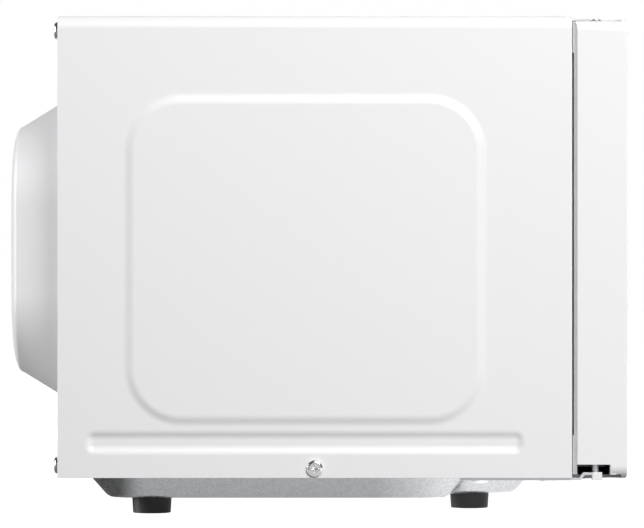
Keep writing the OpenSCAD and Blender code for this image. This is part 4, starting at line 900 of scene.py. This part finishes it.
# ---------------------------------------------------------------------------
# Door. A white moulding like the control panel's, with a seat for the glass,
# a pocket at the bottom and a recess at the top that clear the hinge arms, and
# a long chamfer on the hinge side so that it can swing past the cabinet.
# ---------------------------------------------------------------------------
door_low, door_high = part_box("door_frame")
glass_low, glass_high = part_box("door_glass")
upper_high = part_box("hinge_upper")[1]
pin_x, pin_y = door_low.x + 0.0055, front_y - 0.0123
pin_r, pin_len = 0.0018, 0.012
notch_front, notch_back, notch_top = 0.0074, 0.0097, bottom_z + 0.0069
sweep_r = math.hypot(0.0123, 0.0045) + 0.0003
recess_z = upper_high.z - 0.001 - 0.0003
glass_back = glass_high.y
glass_x, glass_z = (glass_low.x + glass_high.x) / 2, (glass_low.z + glass_high.z) / 2
glass_w, glass_h = glass_high.x - glass_low.x, glass_high.z - glass_low.z
glass_corner, glass_lip = 0.0098, 0.006


def round_bar(name, x, y, z0, z1, radius):
    """An upright round bar, as a tool that bores or clears."""
    piece = begin(name, bpy.ops.mesh.primitive_cylinder_add, vertices=64, radius=radius, depth=z1 - z0,
                  location=(x, y, (z0 + z1) / 2))
    bpy.ops.object.mode_set(mode="OBJECT")
    return piece


door = hollow_moulding("door_moulding", door_low, door_high)
cut(door, plaque("glass_seat", glass_x, glass_z, glass_w + 0.006, glass_h + 0.006, glass_corner + 0.003,
                 door_low.y + wall - 0.0001, glass_back + 0.002), "UNION")
boss_low = (door_low.x + 0.0012, pin_y - notch_front - 0.003)
boss_high = (pin_x + 0.004, door_high.y - 0.0001)
for z0, z1 in ((door_low.z + 0.0012, notch_top + pin_len + 0.003),
               (recess_z - pin_len - 0.004, door_high.z - 0.0012)):
    cut(door, bar("hinge_boss", (*boss_low, z0), (*boss_high, z1), 0.0001), "UNION")
hook_z = hook_zs[1]
cut(door, bar("spring_shelf", (hooks_low.x - 0.001, door_high.y - 0.014, hook_z + 0.037),
              (door_high.x - wall + 0.0001, door_high.y - 0.006, hook_z + 0.039), 0.0001), "UNION")
cut(door, plaque("glass_hole", glass_x, glass_z, glass_w, glass_h, glass_corner, door_low.y - 0.002,
                 glass_back, grow=0.0002))
cut(door, plaque("window_hole", glass_x, glass_z, glass_w - 2 * glass_lip, glass_h - 2 * glass_lip, 0.006,
                 door_low.y - 0.002, door_low.y + 0.012))
cut(door, bar("hinge_pocket", (door_low.x - 0.002, pin_y - notch_front, door_low.z - 0.002),
              (pin_x + 0.006, pin_y + notch_back, notch_top), 0.0003))
cut(door, round_bar("lower_sweep", pin_x, pin_y, door_low.z - 0.002, notch_top - 0.0052, sweep_r))
cut(door, round_bar("upper_sweep", pin_x, pin_y, recess_z, door_high.z + 0.002, sweep_r))
for z in (notch_top - 0.001, recess_z - pin_len - 0.0005):
    cut(door, round_bar("pin_bore", pin_x, pin_y, z, z + pin_len + 0.0015, pin_r + 0.0001))
chamfer_x, chamfer_y, plane_size = 0.0032, 0.0023, 0.020
chamfer_turn = math.atan2(chamfer_y, chamfer_x)
plane_tool = begin("chamfer_plane", bpy.ops.mesh.primitive_cube_add, size=1, location=(0, plane_size / 2, 0),
                   scale=(2 * plane_size, plane_size, 1))
bpy.ops.object.mode_set(mode="OBJECT")
plane_tool = copy_to(plane_tool, "chamfer_tool", (door_low.x, door_high.y - chamfer_y, door_low.z),
                     (0, 0, chamfer_turn))
bpy.data.objects.remove(bpy.data.objects["chamfer_plane"])
cut(door, plane_tool)
fillet(door, 0.0003, 50, 3)
dress(door, white_plastic)
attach(door, "door")
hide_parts("door_frame")

# the glass is black-printed around its rim and smoked in the middle
window_rim = 0.022
pane = plaque("window_glass", glass_x, glass_z, glass_w, glass_h, glass_corner, glass_low.y, glass_back,
              0.0004)
fillet(pane, 0.0001, 45)
black_glass, tree, shader = new_finish("black_printed_glass")
nodes, link = tree.nodes, tree.links.new
shader.inputs["Roughness"].default_value = 0.05
shader.inputs["Coat Weight"].default_value = 0.4
place, split = nodes.new("ShaderNodeTexCoord"), nodes.new("ShaderNodeSeparateXYZ")
link(place.outputs["Object"], split.inputs["Vector"])
masks = []
for axis, centre, half in (("X", glass_x, glass_w / 2 - window_rim),
                           ("Z", glass_z, glass_h / 2 - window_rim)):
    size = maths(tree, "ABSOLUTE", maths(tree, "SUBTRACT", split.outputs[axis], centre))
    masks.append(maths(tree, "LESS_THAN", size, half))
smoke_clearness = 0.35
cover = maths(tree, "MULTIPLY_ADD", maths(tree, "MULTIPLY", *masks), -smoke_clearness, 1.0)
link(cover, shader.inputs["Alpha"])
haze = nodes.new("ShaderNodeGroup")
haze.node_tree = fine_surface
for key, value in {"Colour": (0.008, 0.008, 0.009, 1), "Cloud Colour": (0.014, 0.014, 0.016, 1),
                   "Cloud Scale": 18, "Cloud Amount": 0.6, "Roughness": 0.035,
                   "Roughness Spread": 0.03}.items():
    haze.inputs[key].default_value = value
link(haze.outputs["Colour"], shader.inputs["Base Color"])
link(haze.outputs["Roughness"], shader.inputs["Roughness"])
dress(pane, black_glass)
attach(pane, "door")
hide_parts("door_glass")


def softened(node, name, body, material, width=0.0003, angle=35):
    """A copy of a CAD piece, merged, with its edges softened as a tool or a press leaves them."""
    bpy.ops.object.select_all(action="DESELECT")
    piece = bpy.data.objects.new(name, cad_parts[node].data.copy())
    bpy.context.collection.objects.link(piece)
    bpy.context.view_layer.objects.active = piece
    piece.select_set(True)
    bpy.ops.object.mode_set(mode="EDIT")
    bpy.ops.mesh.select_all(action="SELECT")
    bpy.ops.mesh.remove_doubles(threshold=0.000005)
    bpy.ops.mesh.dissolve_limited(angle_limit=math.radians(0.5))
    bpy.ops.object.mode_set(mode="OBJECT")
    fillet(piece, width, angle)
    dress(piece, material)
    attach(piece, body)
    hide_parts(node)
    return piece


# inside, a pressed steel panel is perforated over the window, in a grey plastic choke cover
screen_steel = bpy.data.materials.new("perforated_screen")
screen_steel.use_nodes = True
nodes, link = screen_steel.node_tree.nodes, screen_steel.node_tree.links.new
shader = nodes["Principled BSDF"]
shader.inputs["Metallic"].default_value = 0.3
hole_pitch = 0.0022
hole_share = 0.34
place, split = nodes.new("ShaderNodeTexCoord"), nodes.new("ShaderNodeSeparateXYZ")
grid = nodes.new("ShaderNodeMapping")
grid.inputs["Scale"].default_value = (1 / hole_pitch, 1 / hole_pitch, 1 / hole_pitch)
link(place.outputs["Object"], grid.inputs["Vector"])
cell, centred, length = (nodes.new("ShaderNodeVectorMath") for _ in range(3))
cell.operation, centred.operation, length.operation = "FRACTION", "SUBTRACT", "LENGTH"
centred.inputs[1].default_value = (0.5, 0.5, 0.5)
link(grid.outputs["Vector"], cell.inputs[0])
link(cell.outputs[0], centred.inputs[0])
level = nodes.new("ShaderNodeVectorMath")
level.operation = "MULTIPLY"
level.inputs[1].default_value = (1, 0, 1)
link(centred.outputs[0], level.inputs[0])
link(level.outputs[0], length.inputs[0])
# the holes are not cut: they are near-black dots in the colour, painted shade of the unlit oven seen through
# them, with a dent in the bump
hole = nodes.new("ShaderNodeMath")
hole.operation = "LESS_THAN"
hole.inputs[1].default_value = hole_share
link(length.outputs["Value"], hole.inputs[0])
tone = nodes.new("ShaderNodeMix")
tone.data_type = "RGBA"
tone.inputs[6].default_value = (0.045, 0.045, 0.047, 1)
tone.inputs[7].default_value = (0.006, 0.006, 0.006, 1)
link(hole.outputs[0], tone.inputs["Factor"])
link(tone.outputs[2], shader.inputs["Base Color"])
dent = nodes.new("ShaderNodeBump")
dent.inputs["Distance"].default_value = 0.0003
dent.invert = True
link(hole.outputs[0], dent.inputs["Height"])
link(dent.outputs["Normal"], shader.inputs["Normal"])
shader.inputs["Roughness"].default_value = 0.42
softened("door_panel", "choke_panel", "door", screen_steel, 0.0002)
choke_grey = coated("grey_choke_plastic", (0.50, 0.50, 0.51), (0.44, 0.44, 0.455), 0.44, grain_scale=1800,
                    cloud=0.4, cloud_scale=30)
softened("choke_cover", "choke_trim", "door", choke_grey, 0.0005)
softened("door_hooks", "hook_bar", "hooks", milky_nylon, 0.0004)
finish_nodes(spring_steel, "hook_spring")

# ---------------------------------------------------------------------------
# Hinges. Two pressed arms of plated steel. The lower one is a flange screwed
# under the pan with a stepped arm and an upright pin; a nylon cap closes its
# end. The upper one comes out of the front plate into the door's recess.
# ---------------------------------------------------------------------------
softened("hinge_lower", "lower_hinge_arm", "cabinet", zinc_steel, 0.00025)
softened("hinge_upper", "upper_hinge_arm", "cabinet", zinc_steel, 0.00015)
softened("hinge_cap", "hinge_end_cap", "cabinet", white_plastic, 0.0003)

# ---------------------------------------------------------------------------
# Studio. A pale floor, a white surround and soft lamps beside, in front and
# behind; a long lens looks straight at the oven's hinge side.
# ---------------------------------------------------------------------------
floor = begin("studio_floor", flat, centre=(0, 0, 0), turn=(0, 0, 0), width=16, length=16)
bpy.ops.object.mode_set(mode="OBJECT")
pale_floor = coated("pale_floor", (0.13, 0.13, 0.13), (0.12, 0.12, 0.12), 0.9, grain_scale=40)
nodes, link = pale_floor.node_tree.nodes, pale_floor.node_tree.links.new
seen = nodes.new("ShaderNodeLightPath")
shader = nodes["Principled BSDF"]
shader.inputs["Emission Color"].default_value = (1, 1, 1, 1)
# the floor glows white where the camera sees it; to glossy rays it glows as a painted reflection, dark at the
# back, bright at the front and banded between, so the bright metal of the pan mirrors painted light and shade
spot, along = nodes.new("ShaderNodeTexCoord"), nodes.new("ShaderNodeSeparateXYZ")
painted_reflection_ramp = nodes.new("ShaderNodeValToRGB")
link(spot.outputs["Object"], along.inputs["Vector"])
stretch = nodes.new("ShaderNodeMapRange")
stretch.inputs["From Min"].default_value, stretch.inputs["From Max"].default_value = rear_y, front_y
link(along.outputs["Y"], stretch.inputs["Value"])
link(stretch.outputs["Result"], painted_reflection_ramp.inputs["Fac"])
painted_reflection_ramp.color_ramp.elements[0].position, painted_reflection_ramp.color_ramp.elements[1].position = 0.0, 0.8
painted_reflection_ramp.color_ramp.elements[0].color = (0.02, 0.02, 0.02, 1)
painted_reflection_ramp.color_ramp.elements[1].color = (1.0, 1.0, 1.0, 1)
for place, tone in ((0.09, 0.03), (0.16, 0.42), (0.62, 0.47)):
    painted_reflection_ramp.color_ramp.elements.new(place).color = (tone, tone, tone, 1)
shown = nodes.new("ShaderNodeMath")
shown.operation = "MULTIPLY_ADD"
link(painted_reflection_ramp.outputs["Color"], shown.inputs[1])
link(seen.outputs["Is Glossy Ray"], shown.inputs[0])
link(seen.outputs["Is Camera Ray"], shown.inputs[2])
link(shown.outputs[0], shader.inputs["Emission Strength"])
dress(floor, pale_floor)

# the surround is white where it is seen and dimmer as a light, so that the lamps shape the oven
surround = bpy.data.worlds.new("white_surround")
surround.use_nodes = True
nodes, link = surround.node_tree.nodes, surround.node_tree.links.new
glow = nodes["Background"]
seen, strength = nodes.new("ShaderNodeLightPath"), nodes.new("ShaderNodeMapRange")
surround_light = 0.06
strength.inputs["To Min"].default_value, strength.inputs["To Max"].default_value = surround_light, 1.0
link(seen.outputs["Is Camera Ray"], strength.inputs["Value"])
link(strength.outputs["Result"], glow.inputs["Strength"])
glow.inputs["Color"].default_value = (1, 1, 1, 1)
bpy.context.scene.world = surround


def lamp(name, place, aim, width, height, power):
    """A soft rectangular lamp pointed at a place."""
    light = bpy.data.lights.new(name, "AREA")
    light.shape, light.size, light.size_y, light.energy = "RECTANGLE", width, height, power
    stand_in = bpy.data.objects.new(name, light)
    bpy.context.scene.collection.objects.link(stand_in)
    stand_in.location = place
    stand_in.rotation_euler = (Vector(aim) - Vector(place)).to_track_quat("-Z", "Y").to_euler()


lamp("key_lamp", (-2.0, -0.8, 1.5), (0, 0, 0.1), 1.2, 1.2, 70)
lamp("front_lamp", (0.6, -2.5, 1.2), (0, 0, 0.1), 1.4, 1.2, 23)
lamp("far_lamp", (2.7, -0.6, 0.6), (0, 0, 0.1), 1.4, 1.2, 50)
lamp("rear_lamp", (0.15, 2.5, 0.65), (0, 0, 0.1), 0.9, 1.4, 60)
lamp("rear_side_lamp", (-1.7, 2.1, 0.6), (0, 0, 0.1), 1.0, 1.0, 5)

stand = side_x + 2.0
eye = bpy.data.cameras.new("side_camera")
eye.lens, eye.sensor_width = 218, 36
holder = bpy.data.objects.new("side_camera", eye)
bpy.context.scene.collection.objects.link(holder)
holder.location = (-stand, front_y + 0.1283, 0.1305)
holder.rotation_euler = (math.pi / 2, 0, -math.pi / 2)
bpy.context.scene.camera = holder
bpy.context.scene.view_settings.view_transform = "Standard"
